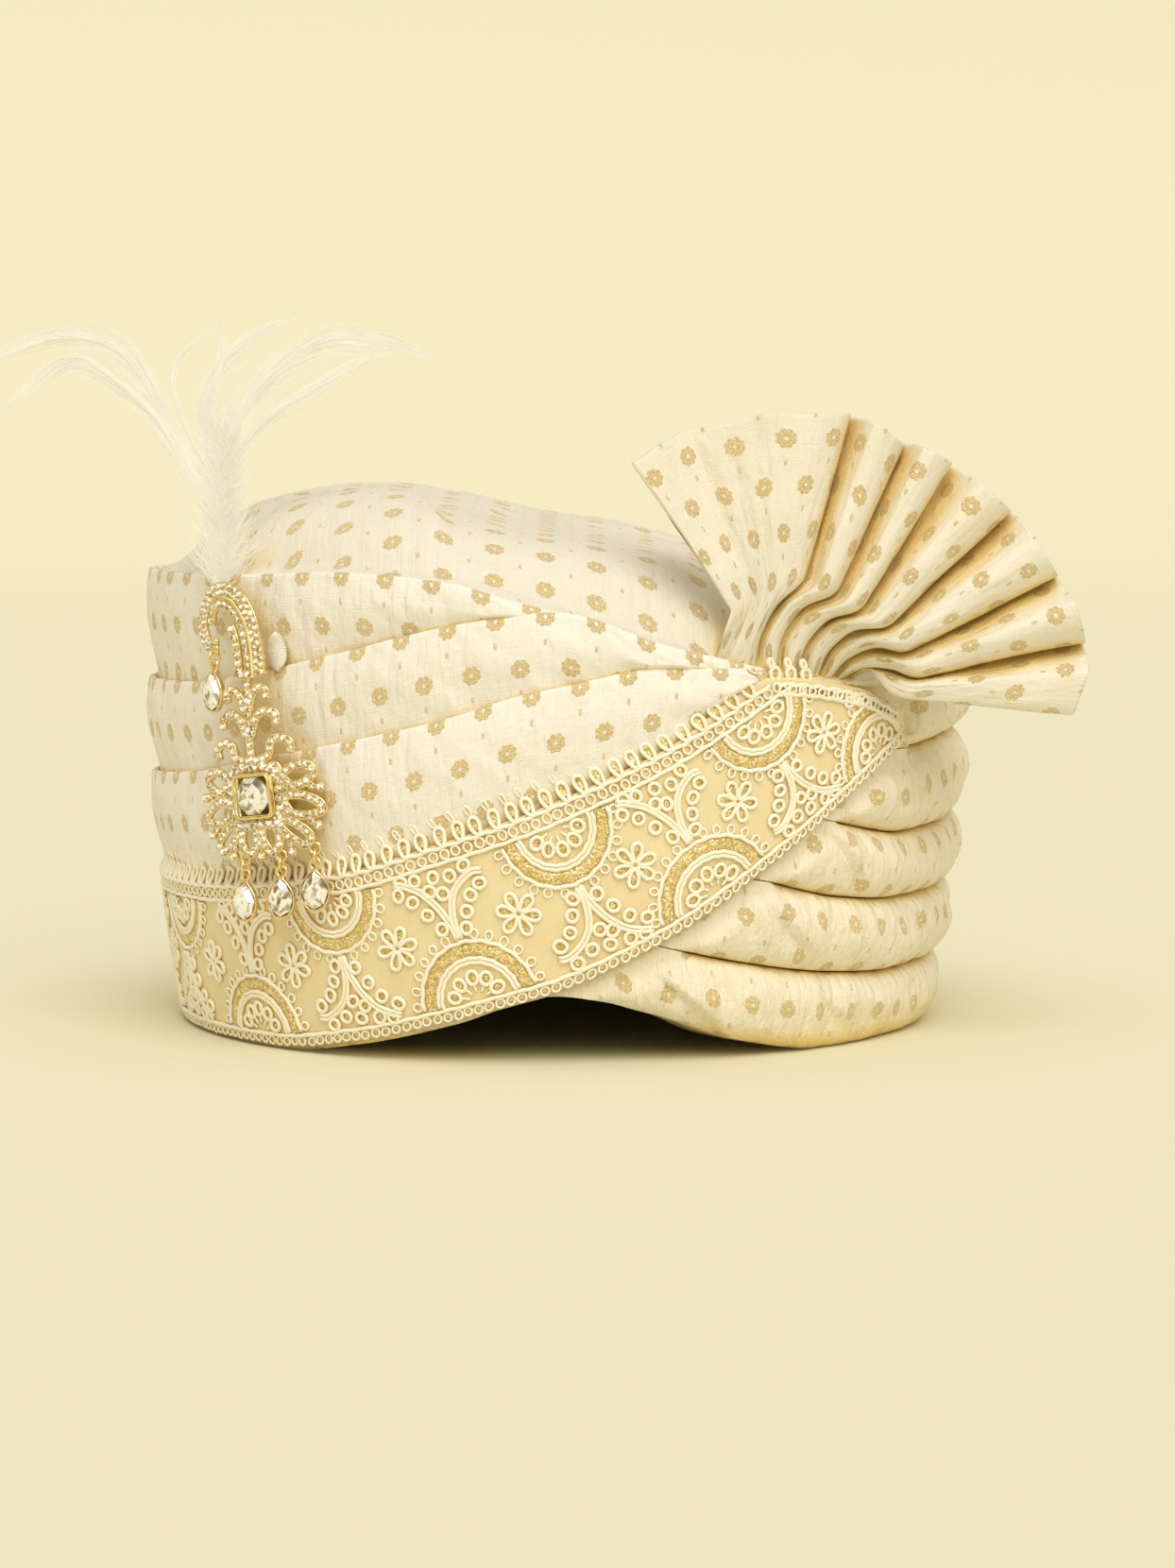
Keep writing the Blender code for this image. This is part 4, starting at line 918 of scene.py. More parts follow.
LEFT_STEM = ((-0.3, 18.2), (-0.9, 22.0), (-3.2, 27.9), (-6.6, 33.0), (-10.6, 36.2), (-14.6, 38.0))
RIGHT_STEM = ((0.3, 18.2), (0.0, 22.0), (0.6, 26.5), (2.4, 30.6), (5.7, 33.5), (9.9, 35.2),
              (12.6, 34.7))
LEAVES = ((-3.9, 22.1), (-6.9, 27.0), (-10.2, 31.5), (-14.2, 34.4), (-12.0, 38.0), (-7.8, 37.4),
          (-4.0, 33.0), (-0.5, 31.4), (-1.9, 36.6), (3.2, 35.6), (8.0, 37.6), (10.9, 31.6),
          (7.2, 28.9), (4.8, 25.0), (3.0, 20.8))


def motif(centre, upright):
    """A half medallion on one line, with a double-stemmed spray from it towards the other."""
    sign = 1.0 if upright else -1.0

    def at(points):
        points = np.asarray(points, float).reshape(-1, 2)
        across = LOWER_LINE + points[:, 1] if upright else INNER_LINE - points[:, 1]
        return np.stack([centre + sign * points[:, 0], across], -1)

    def arc(radius, first=4.0, last=176.0, wave=0.0, count=44):
        angle = np.radians(np.linspace(first, last, count))
        reach = radius + wave * np.sin(angle * 22)
        return at(np.stack([reach * np.cos(angle), reach * np.sin(angle)], -1))

    for k in range(13):
        angle = math.radians(8 + 164 * k / 12)
        place = at((19.0 * math.cos(angle), 19.0 * math.sin(angle)))[0]
        loop(*place, 2.7, 2.3, angle, 9, False, FINE_RADIUS)
    cord(arc(17.2, wave=0.18))
    cord(arc(12.35, wave=0.12))
    cord(arc(11.2, wave=0.12, first=2, last=178))
    inner, outer = arc(12.9, 3, 177, count=40), arc(16.6, 3, 177, count=40)
    rows = []
    for share, lift in ((0.0, 0.03), (0.12, 0.45), (0.5, 0.62), (0.88, 0.45), (1.0, 0.03)):
        line = inner + (outer - inner) * share
        rows.append(lay(line[:, 0], line[:, 1], lift * MM))
    good = np.stack([allowed(row[2], row[3]) for row in rows]).all(0)
    points = np.stack([row[0] for row in rows], 1)
    faces = [face for face in grid_faces(40, 5).tolist()
             if good[face[0] // 5] and good[face[2] // 5]]
    if faces:
        zari.add(points, faces)
    for k in range(5):
        angle = math.radians(18 + 36 * k)
        place = at((6.9 * math.cos(angle), 6.2 * math.sin(angle) + 0.9))[0]
        loop(*place, 3.9, 3.3, angle, 11)
        root = at((2.6 * math.cos(angle), 2.2 * math.sin(angle) + 0.8))[0]
        cord(through([root, place + (root - place) * 0.45], 4), False, FINE_RADIUS)
    for stem in (LEFT_STEM, RIGHT_STEM):
        line = np.asarray(stem)
        way = unit(np.gradient(line, axis=0))
        side = np.stack([-way[:, 1], way[:, 0]], -1)
        for off in (-0.55, 0.55):
            cord(through(at(line + side * off), 22))
    for leaf in LEAVES:
        place = at(leaf)[0]
        loop(*place, 3.5, 3.2, rng.uniform(0, 3.1), 12)


def flower(s, w):
    """Six pointed petals round a small gold heart."""
    start = rng.uniform(0.0, 1.0)
    for k in range(6):
        angle = start + math.pi / 3 * k
        drop_loop(s + 0.9 * math.cos(angle), w + 0.9 * math.sin(angle), 5.4, 3.8, angle)
    dot(s, w, 0.8, 0.8)


def edge_lines():
    """The lines and chains along both edges, and the fringe over the low wrap."""
    length = float(band.s[-1])
    run = np.arange(2.0, length, 1.5)
    sway = 0.12 * np.sin(run * 0.9)
    cord(np.stack([run, LOWER_LINE + sway], -1))
    cord(np.stack([run, INNER_LINE + sway], -1))
    cord(np.stack([run, BAND_WIDTH - 0.4 + 0.25 * np.sin(run * 1.06)], -1))
    for s in np.arange(2.0, length, 3.3):
        loop(s, 1.75, 2.7, 2.2, 0.5, 10, False, FINE_RADIUS)
    for s in np.arange(2.0, length, 3.7):
        loop(s, (INNER_LINE + BAND_WIDTH) / 2 - 0.2, 2.7, 2.7, 0.0, 10, False, 0.44)
    last = band.find(30.0, STRIPS["border"](30.0), BAND_WIDTH)
    for s in np.arange(2.0, last, 5.9):
        drop_loop(s, BAND_WIDTH - 0.4, 5.5, 4.1, 1.72)
        drop_loop(s - 1.1, BAND_WIDTH + 4.9, 3.6, 1.9, 1.95, False, 9, 0.40)


# Millimetres along the wall in a degree of azimuth there.
MM_A_DEGREE = 2.19


def wall_cord(azimuth, z, depth, radius, closed=False, sides=6):
    tube(cords, on_body(azimuth, z, depth), outward_at(azimuth, z), radius * MM, closed, sides)


def wall_drop(azimuth, z, reach, wide, turn, gold=True):
    """A pointed loop from a place on the wall, in front of what stands there."""
    turn = turn + rng.normal(0, 0.07)
    x, y = drop_outline(reach, wide, turn)
    around, up = azimuth + x / MM_A_DEGREE, z + y * MM
    depth = strip_depth("border", around, np.minimum(up, STRIPS["border"](around)))
    wall_cord(around, up, depth + 0.0006, CORD_RADIUS, True)
    if gold:
        angle = even_angles(12)
        x, y = turned(0.58 * reach, 0.0, turn)
        middle_azimuth, middle_z = azimuth + x / MM_A_DEGREE, z + y * MM
        rim = on_body(middle_azimuth + np.cos(angle) * wide * 0.28 / MM_A_DEGREE,
                      middle_z + np.sin(angle) * reach * 0.30 * MM, depth.mean() + 0.0008)
        middle = on_body(middle_azimuth, middle_z, depth.mean() + 0.0002)
        zari.add(np.vstack([rim, middle]), [(k, (k + 1) % 12, 12) for k in range(12)])


def cut_edge():
    """The chain along the folded upper right edge of the border, beside the fan, and the last of
    the fringe, which stands up in front of the fan's gather."""
    for azimuth in np.arange(30.6, 37.5, 2.6):
        wall_drop(azimuth, STRIPS["border"](azimuth) - 0.0008, 4.6, 3.8, 1.85)
        top = STRIPS["border"](azimuth) + 0.0034
        wall_drop(azimuth - 0.5, top, 3.0, 1.9, 2.0, False)
    azimuth = np.arange(30.5, 53.0, 0.35)
    for drop, wave in ((1.2, 0.25), (4.0, 0.12)):
        z = STRIPS["border"](azimuth) - drop * MM + wave * MM * np.sin(azimuth * 2.4)
        wall_cord(azimuth, z, face_depth(azimuth, z) - CORD_RADIUS * 0.9 * MM, CORD_RADIUS)
    angle = even_angles(10)
    for centre in np.arange(31.2, 52.5, 1.6):
        z = STRIPS["border"](centre) - 2.6 * MM + 1.15 * MM * np.sin(angle)
        around = centre + 0.55 * np.cos(angle)
        wall_cord(around, z, face_depth(around, z) - 0.9 * MM, FINE_RADIUS, True, 5)


centres = [(kind, band.find(a, z * MM, LOWER_LINE if kind == "bottom" else INNER_LINE))
           for kind, a, z in MEDALLIONS]
while centres[0][1] > 12.0:
    kind, s = centres[0]
    centres.insert(0, ("top" if kind == "bottom" else "bottom", s - MEDALLION_STEP))
centres.append(("top", centres[-1][1] + 36.0))
for kind, s in centres:
    motif(s, kind == "bottom")
for (_, first), (_, second) in zip(centres, centres[1:]):
    flower((first + second) / 2, (LOWER_LINE + INNER_LINE) / 2 + 0.4)
edge_lines()
cut_edge()
EMBROIDERY = fit(cords.make("border_embroidery", CORD), "border")
GOLD_WORK = fit(zari.make("border_gold_work", ZARI), "border")


# Crown

# Soft folds across the crown: from, to, the height of the step in millimetres, and how wide and
# how far it reaches. The side on the left, seen from the first end, is the higher one.
CROWN_FOLDS = (
    ((-0.028, -0.130), (-0.045, -0.030), 2.3, 0.0024, 0.024),
    ((-0.022, -0.131), (-0.068, -0.096), 1.3, 0.0016, 0.012),
    ((0.026, -0.124), (0.058, -0.030), 0.8, 0.0040, 0.020),
    ((-0.096, -0.070), (-0.060, -0.020), 0.9, 0.0036, 0.018),
    ((-0.090, 0.020), (-0.030, 0.090), 1.2, 0.0040, 0.022),
    ((0.010, 0.020), (0.085, 0.060), 1.2, 0.0040, 0.024),
)
CROWN_EDGE = 0.0031


def crown_height(x, y):
    """Height of the crown's outer face over a place, with its draped folds."""
    reach = BODY_HALF_WIDTH - CROWN_INSET
    azimuth = np.degrees(np.arctan2(x / reach, -y / (reach + BODY_EXTRA_DEPTH)))
    size = np.hypot(x / reach, y / (reach + BODY_EXTRA_DEPTH))
    share = np.clip(size, 0.0, 1.0)
    rim = WALLS[5](azimuth) + CLEARANCE + CROWN_THICKNESS
    rim = rim - 0.0026 * np.clip((size - 1) * reach / (CROWN_INSET - CROWN_EDGE), 0.0, 1.0) ** 1.5
    ridge = BODY_HEIGHT + CROWN_RISE * RIDGE(x / BODY_HALF_WIDTH) - 0.0012
    fullness = 7 + 4 * smoothstep(-y / 0.06)
    weight = share**fullness
    height = ridge * (1 - weight) + rim * weight
    free = smoothstep((1.0 - share) / 0.07)
    for (ax, ay), (bx, by), step, width, spread in CROWN_FOLDS:
        dx, dy = bx - ax, by - ay
        long = math.hypot(dx, dy)
        along = ((x - ax) * dx + (y - ay) * dy) / long**2
        away = ((y - ay) * dx - (x - ax) * dy) / long
        held = smoothstep((0.75 - np.abs(along - 0.5)) / 0.4)
        rise = np.tanh(away / width) * np.exp(-np.abs(away) / spread)
        height = height + step * MM * rise * held * free
    return height


def crown_piece():
    """The draped cloth over the open top."""
    count, slices = 360, 32
    azimuth = np.linspace(0.0, 360.0, count, endpoint=False)[:, None]
    outermost = (BODY_HALF_WIDTH - CROWN_EDGE) / (BODY_HALF_WIDTH - CROWN_INSET)
    share = np.concatenate([np.linspace(outermost, 0.86, 24), np.linspace(0.845, 0.02, 56)])[None]
    edge = on_body(azimuth, BODY_HEIGHT, CROWN_INSET)
    x, y = edge[..., 0] * share, edge[..., 1] * share
    z = crown_height(x, y)
    soft = noise_field(70, 14, 201)(azimuth / 360.0, share) * 0.00022
    soft = soft + noise_field(26, 6, 202)(azimuth / 360.0, share) * 0.0006
    z = z + soft * smoothstep((1 - share) / 0.10) * smoothstep(share / 0.3)
    outer = np.stack([x, y, z], -1).reshape(-1, 3)
    middle = np.array([[0.0, 0.0, float(crown_height(np.array(0.0), np.array(0.0)))]])
    points = np.concatenate([outer, outer - UP * CROWN_THICKNESS, middle,
                             middle - UP * CROWN_THICKNESS])
    columns = share.shape[1]
    size = count * columns
    top_faces = grid_faces(count, columns, True, False)
    faces = top_faces.tolist() + (top_faces[:, ::-1] + size).tolist()
    for i in range(count):
        k = (i + 1) % count
        faces.append([i * columns, k * columns, size + k * columns, size + i * columns])
        faces.append([i * columns + columns - 1, 2 * size, k * columns + columns - 1])
        faces.append([size + i * columns + columns - 1, 2 * size + 1,
                      size + k * columns + columns - 1])
    flat_x, flat_y = points[:, 0], points[:, 1]
    total = np.zeros(len(points))
    for step in (np.arange(slices) + 0.5) / slices:
        here = flat_y * step
        rate = (crown_height(flat_x, here + 0.0005) - crown_height(flat_x, here - 0.0005)) / 0.001
        total += np.hypot(1.0, rate) * flat_y / slices
    places = np.stack([flat_x + 0.003, -total + 0.002], -1)
    corners = np.concatenate([places[face] for face in faces])
    return fit(make_object("crown_cloth", points, faces, CROWN_CLOTH, corners), "cloth", "crown")


CROWN = crown_piece()


# Fan

FAN_REACH = 0.080
FAN_KNEE = 0.030
FAN_PLEAT_DEPTH = 0.0085
FAN_GATHER_DEPTH = 0.0012
FAN_THICKNESS = 0.0012
FAN_EXTRA_DEPTH = 0.34
FAN_ELBOW = 0.19
SOFT_PLEATS = 2
FAN_FORWARD = 0.0078
FAN_LEAN = 0.10
FAN_TURN = 18.0
FAN_SEAT_DEPTH = 0.0060
FAN_START = 22.5
FAN_END = 45.0
FAN_TABLE = (
    (126.0, 0.94, 128.0, 0.80, 0.00, 0.2), (112.0, 0.96, 114.0, 0.82, 0.08, -0.3),
    (95.0, 0.94, 98.0, 0.85, 0.17, 0.5), (77.0, 0.95, 81.0, 0.90, 0.26, -0.8),
    (70.0, 0.97, 70.0, 0.92, 0.34, 0.8), (63.0, 0.93, 59.0, 0.90, 0.42, -0.8),
    (57.5, 0.95, 50.0, 0.90, 0.50, 0.8), (51.5, 0.96, 41.0, 0.93, 0.58, -0.8),
    (44.0, 0.99, 33.0, 0.98, 0.66, 0.9), (36.0, 1.01, 25.0, 1.06, 0.73, -1.0),
    (28.0, 1.03, 17.0, 1.10, 0.79, 0.9), (19.5, 1.05, 10.0, 1.14, 0.85, -1.0),
    (13.0, 1.08, 4.0, 1.18, 0.91, 0.9), (6.0, 1.10, -2.0, 1.24, 0.96, -0.8),
    (0.0, 1.10, -6.0, 1.20, 1.00, 0.9), (-8.5, 1.06, -11.0, 1.12, 1.04, 0.3),
)


def gather_point(share, fold):
    """Where a fold starts from its gather on the top roll."""
    azimuth = FAN_START + (FAN_END - FAN_START) * share
    point = on_body(azimuth, BODY_HEIGHT, FAN_SEAT_DEPTH)
    point[2] = WALLS[5](azimuth) + CLEARANCE
    point[1] -= fold * FAN_GATHER_DEPTH
    return point


def fan_line(row, count):
    """Points along one fold, from the gather to the outer edge, with a rounded knee."""
    tip_angle, tip_reach, knee_angle, knee_reach, gather, fold = row
    centre = gather_point(0.5, 0.0)
    base = gather_point(gather, fold)

    def face(angle, reach, depth):
        x = centre[0] + reach * math.cos(math.radians(angle))
        z = centre[2] + reach * math.sin(math.radians(angle))
        back = FAN_LEAN * (z - centre[2]) + (x - centre[0]) * math.tan(math.radians(FAN_TURN))
        return np.array([x, centre[1] - FAN_FORWARD + back - depth, z])

    knee = face(knee_angle, knee_reach * FAN_KNEE, fold * FAN_PLEAT_DEPTH * 0.45)
    tip = face(tip_angle, tip_reach * FAN_REACH, fold * FAN_PLEAT_DEPTH)
    chord = knee - base
    swing = FAN_ELBOW * np.clip((95.0 - tip_angle) / 30.0, 0.0, 1.0)
    swing *= np.clip((tip_angle + 15.0) / 30.0, 0.25, 1.0)
    aside = np.array((-chord[2], 0.0, chord[0])) * swing
    neck = base + chord * 0.30 + aside * 0.9
    neck[2] = max(neck[2], base[2] + 0.0035)
    before = base + chord * 0.68 + aside
    after = knee + (tip - knee) * 0.14
    path = [base, neck, before, knee * 0.8 + (before + after) * 0.1, after,
            knee + (tip - knee) * 0.45, tip]
    return through(path, count)


def fan_piece():
    """The pleated free end: broad rounded pleats, each of which hangs over the valley after it."""
    along, per = 80, 18
    lines = np.stack([fan_line(row, along) for row in FAN_TABLE])
    folds = np.array([row[5] for row in FAN_TABLE])
    flat = lines.copy()
    depth = np.pad(lines[..., 1], ((1, 1), (0, 0)), "edge")
    flat[..., 1] += (depth[1:-1] - (depth[:-2] + depth[2:]) / 2) * FAN_EXTRA_DEPTH
    rows = []
    for k in range(len(lines) - 1):
        u = np.linspace(0.0, 1.0, per, endpoint=False)[:, None]
        first, second = flat[k], flat[k + 1]
        if k < SOFT_PLEATS:
            depth_share = side_share = smoothstep(u)
        elif folds[k] > folds[k + 1]:
            depth_share = 1 - np.cos(u * np.pi / 2) ** 0.9
            side_share = np.sin(u * np.pi / 2) ** 0.9 * (1 + 0.22 * np.sin(np.pi * u))
        else:
            depth_share = np.sin(u * np.pi / 2) ** 0.9
            side_share = u + 0.10 * np.sin(np.pi * u)
        part = first + (second - first) * side_share[..., None]
        part[..., 1] = first[:, 1] + (second[:, 1] - first[:, 1]) * depth_share
        rows.append(part)
    rows.append(flat[-1][None])
    outer = np.concatenate(rows)
    blur = (0.08, 0.24, 0.36, 0.24, 0.08)
    for _ in range(2):
        longer = np.concatenate([outer[:1]] * 2 + [outer] + [outer[-1:]] * 2)
        outer = sum(longer[k:k + len(outer)] * blur[k] for k in range(5))
    across = np.linspace(0.0, 1.0, len(outer))[:, None]
    length = np.linspace(0.0, 1.0, along)[None, :]
    wander = noise_field(30, 5, 301, False)(across, length) * 0.0009
    wander = wander + noise_field(110, 9, 302, False)(across, length) * 0.0003
    wander = wander * smoothstep(length / 0.35)
    outer[..., 1] -= wander
    outer[..., 2] += (wander * 0.6 + noise_field(22, 2, 303, False)(across, length) * 0.0009
                      * length**3)
    u_run = run_along(outer[:, -16])
    v_run = run_along(outer, 1)
    v_run = v_run - v_run[:, -1:]
    uvs = np.stack(np.broadcast_arrays(u_run[:, None] + 0.004, v_run - 0.0065), -1)
    normal = unit(np.cross(np.gradient(outer, axis=0), np.gradient(outer, axis=1)))
    inner = (outer - normal * FAN_THICKNESS)[:, ::-1]
    uvs = np.concatenate([uvs, uvs[:, ::-1], uvs[:, :1]], 1)
    points = np.concatenate([outer, inner], 1)
    return fit(ring_shell("fan_cloth", points, uvs, FAN_CLOTH, False), "cloth", "fan")


FAN = fan_piece()


# Brooch, in its own flat frame: s to the right, t up and n outwards from the back

BROOCH_UNIT = 0.081 / 100
BROOCH_AZIMUTH = -36.0
BROOCH_HEIGHT = 0.0760
BROOCH_WALL_AZIMUTH = -41.4
BROOCH_STANDOFF = 0.0062
BROOCH_BEND_RADIUS = 0.065
BROOCH_LEAN = 7.5
PLATE = 0.0014
HOOK_OUTER = ((7.5, 43), (7.8, 50), (7.2, 58), (5.5, 65), (2, 70.5), (-3, 74), (-9, 74.5),
              (-14.5, 72), (-19, 66.5), (-20, 60.5), (-17.5, 56), (-12.5, 55))
HOOK_INNER = ((2.6, 42), (3, 50), (2.4, 57), (0.5, 63), (-4, 68), (-9, 69.5), (-13, 67),
              (-14.5, 62.5))
SPINE = ((5.2, 42), (5.5, 50), (5.0, 57), (3.2, 63.5), (-1.0, 69.5), (-6.0, 72.2))
HOOK_LEFT = ((-1.8, 43), (-1.6, 50), (-2.2, 56), (-4.0, 61.5))
STEM = ((0, 9), (0, 20), (0.5, 31), (1, 38))
FOOT = ((-4, 44.5), (1, 43), (6, 44.5))
SCROLLS = (((1, 30), (3, 35.5), (6.5, 38.5), (9.5, 36.5), (9, 34)),
           ((1, 21), (3.5, 27), (8, 30), (12.5, 28), (12.5, 24.5)),
           ((1, 12), (7.5, 14), (9, 18.5), (13, 20), (17, 17.5), (16.5, 14)))
PETALS = (((12.5, 6), (17, 9.5), (22, 9.5), (24.5, 6.5), (21, 3.5), (16, 2.5)),
          ((12, -1.5), (18, -1), (24, -3.5), (26.5, -7), (21, -8.5), (14, -7)),
          ((10.5, -9), (16, -11.5), (20.5, -16), (18, -19), (13, -16), (9.5, -12)),
          ((2, -10.5), (1.5, -16), (4.5, -20.5), (8, -18), (8, -13), (5.5, -10)))
STALKS = (((20, 2), (26.5, 1.0), True), ((19, -9), (24, -12.5), True),
          ((12, -15), (13, -21), True), ((0, -12), (0, -21.5), False), ((2, 42), (1, 37), False))
EYES = {"left": (-8, -22), "middle": (8, -22), "right": (21.5, -20.5), "hook": (-14.5, 53.5)}


def bent(points):
    """Points of the brooch's flat frame, leant and bent round to follow the body."""
    points = np.asarray(points, float)
    s, t = turned(points[..., 0], points[..., 1], math.radians(BROOCH_LEAN))
    facing = math.radians(BROOCH_AZIMUTH)
    outward = np.array((math.sin(facing), -math.cos(facing), 0.0))
    centre = on_body(BROOCH_WALL_AZIMUTH, BROOCH_HEIGHT) + outward * BROOCH_STANDOFF
    axis = centre - outward * BROOCH_BEND_RADIUS
    turn = facing + s / BROOCH_BEND_RADIUS
    reach = BROOCH_BEND_RADIUS + points[..., 2]
    return np.stack([axis[0] + reach * np.sin(turn), axis[1] - reach * np.cos(turn),
                     centre[2] + t], -1)


def bend_round(piece):
    """The piece, moved from the brooch's flat frame to its place on the body."""
    flat = np.empty(len(piece.data.vertices) * 3)
    piece.data.vertices.foreach_get("co", flat)
    piece.data.vertices.foreach_set("co", bent(flat.reshape(-1, 3)).ravel())
    return piece


def flat_to_plate(points, n=0.0):
    """Places (s, t) in hundredths of the brooch's height, at a height n above its back."""
    points = np.asarray(points, float) * BROOCH_UNIT
    return np.concatenate([points, np.full((len(points), 1), n)], 1)


gold = Heap()
stones = Heap()


def wire(points, radius, closed=False):
    tube(gold, points, UP, radius, closed)


def ring_row(radius, z, centre, count, start=0.0):
    """Places at even steps round a centre."""
    angle = even_angles(count) + start
    return np.stack([centre[0] + radius * np.cos(angle), centre[1] + radius * np.sin(angle),
                     np.full(count, z)], -1)


def bead(place, size, peak, root=0.0):
    """A four-sided gold point, with a root under it where it has one."""
    corners = [(1, 0, 0), (0, 1, 0), (-1, 0, 0), (0, -1, 0), (0, 0, peak)]
    faces = [(k, (k + 1) % 4, 4) for k in range(4)]
    if root:
        corners.append((0, 0, -root))
        faces += [((k + 1) % 4, k, 5) for k in range(4)]
    gold.add(place + size * np.array(corners), faces)


def cut_stone(centre, radius, base):
    """A round cut stone in a gold cup with four claws."""
    height = radius * 0.85
    points = np.concatenate([ring_row(radius * 0.98, base, centre, 8),
                             ring_row(radius, base + height * 0.35, centre, 8, math.pi / 8),
                             ring_row(radius * 0.55, base + height, centre, 8)])
    faces = []
    for k in range(8):
        n = (k + 1) % 8
        faces += [(k, n, 8 + k), (n, 8 + n, 8 + k), (8 + k, 8 + n, 16 + n), (8 + k, 16 + n, 16 + k)]
    faces.append(tuple(range(16, 24)))
    stones.add(points, faces)
    cup = [ring_row(radius + 0.00014, base - 0.0009, centre, 12),
           ring_row(radius + 0.00022, base + height * 0.35, centre, 12),
           ring_row(radius + 0.00008, base + height * 0.46, centre, 12),
           ring_row(radius - 0.0001, base - 0.0004, centre, 12)]
    gold.add(np.stack(cup), grid_faces(4, 12, False, True).tolist())
    for place in ring_row(radius * 0.90, base + height * 0.62, centre, 4, math.pi / 4):
        bead(place, radius * 0.17, 1, 2.2)


def facets(crossed):
    """Triangles between four rows of eight points. crossed turns every other cut round."""
    faces = []
    for index, (a, b, c, d) in enumerate(grid_faces(4, 8, False, True).tolist()):
        row, k = divmod(index, 8)
        if crossed and (row + k) % 2 == 0:
            faces += [(a, b, d), (b, c, d)]
        else:
            faces += [(a, b, c), (a, c, d)]
    return faces


def rib(points, radius, pitch, closed=False, lanes=1):
    """Rows of stones on a thin plate between two gold wires."""
    path = flat_to_plate(points)
    length = run_along(through(path, 60, closed))[-1]
    count = max(6, int(length / 0.0007))
    line = through(path, count, closed)
    side = np.cross(UP, directions(line, closed))
    for off in (-1, 1):
        wire(line + side * off * (radius + 0.00015) + UP * (PLATE * 0.75), 0.00028, closed)
    low, high = line - side * radius, line + side * radius
    strip = np.stack([low, high, high + UP * PLATE * 0.6, low + UP * PLATE * 0.6], 1)
    faces = grid_faces(count, 4, closed, True).tolist()
    if not closed:
        faces += [[3, 2, 1, 0], [4 * count - 4, 4 * count - 3, 4 * count - 2, 4 * count - 1]]
    gold.add(strip, faces)
    number = max(1, round(length / pitch))
    if closed:
        seats = through(path, number, True)
    else:
        inset = length * 0.5 / number
        dense = through(path, 200)
        seats = read_at(np.linspace(inset, length - inset, number), run_along(dense), dense)
    for seat, way in zip(seats, np.cross(UP, directions(seats, closed))):
        if lanes == 1:
            cut_stone(seat, radius * 1.02, PLATE * 0.72)
            continue
        for lane in (-0.5, 0.5):
            step = way * radius * lane * 1.06 + np.cross(way, UP) * pitch * 0.5 * lane
            cut_stone(seat + step, radius * 0.56, PLATE * 0.78)


def mirrored(points):
    return [(-s, t) for s, t in points]


def bezel():
    """The square tray of the medallion with its beaded edge, and the stones round it."""
    half, height = 0.0062, 0.0030
    for size, z in ((half, height), (half + 0.0002, PLATE)):
        corner = size * 0.9
        line = through([(size, 0, z), (corner, corner, z), (0, size, z), (-corner, corner, z),
                        (-size, 0, z), (-corner, -corner, z), (0, -size, z), (corner, -corner, z)],
                       48, True)
        wire(line, 0.00042, True)
    square = [(half, half), (-half, half), (-half, -half), (half, -half)]
    rows = np.array([[(s * k, t * k, z) for s, t in square] for k, z in
                     ((1.0, 0.0), (1.0, height), (0.9, height), (0.9, PLATE))])
    gold.add(rows, grid_faces(4, 4, False, True).tolist() + [[12, 13, 14, 15], [3, 2, 1, 0]])
    for k in range(22):
        share = -0.92 + 1.84 * k / 21
        for s, t in ((share, 1), (share, -1), (1, share), (-1, share)):
            bead(np.array((s * half, t * half, height + 0.0001)), 0.00027, 1.2)
    reach = 0.00805
    for k in range(4):
        for share in (-0.83, -0.5, -0.167, 0.167, 0.5, 0.83):
            place = {0: (share, 1), 1: (1, -share), 2: (-share, -1), 3: (-1, share)}[k]
            cut_stone((place[0] * reach * 1.02, place[1] * reach, 0.0), 0.00118, PLATE * 0.8)
    ring = [(1, 1), (1, 0), (1, -1), (0, -1), (-1, -1), (-1, 0), (-1, 1), (0, 1)]
    line = through([(s * reach * 1.02, t * reach * 1.02, PLATE * 0.3) for s, t in ring], 60, True)
    tube(gold, line, UP, 0.0012, True, 8, 0.5)


def square_stone():
    """The cushion-cut centre stone: rows of facets that rise to a point beside the middle."""
    half, low = 0.0054, 0.0018
    heights = ((1.0, low), (1.0, low + 0.0010), (0.72, low + 0.0024), (0.42, low + 0.0031))
    points = []
    for size, z in heights:
        for k in range(8):
            angle = math.pi / 4 * k + math.pi / 8
            s, t = math.cos(angle), math.sin(angle)
            longest = max(abs(s), abs(t))
            points.append((half * size * s / longest * 0.99, half * size * t / longest * 0.99, z))
    points.append((0.0003, -0.0002, low + 0.0033))
    faces = facets(False) + [(24 + k, 24 + (k + 1) % 8, 32) for k in range(8)]
    square_heap = Heap()
    square_heap.add(points, faces)
    return square_heap.make("brooch_centre_stone", CRYSTAL, False)


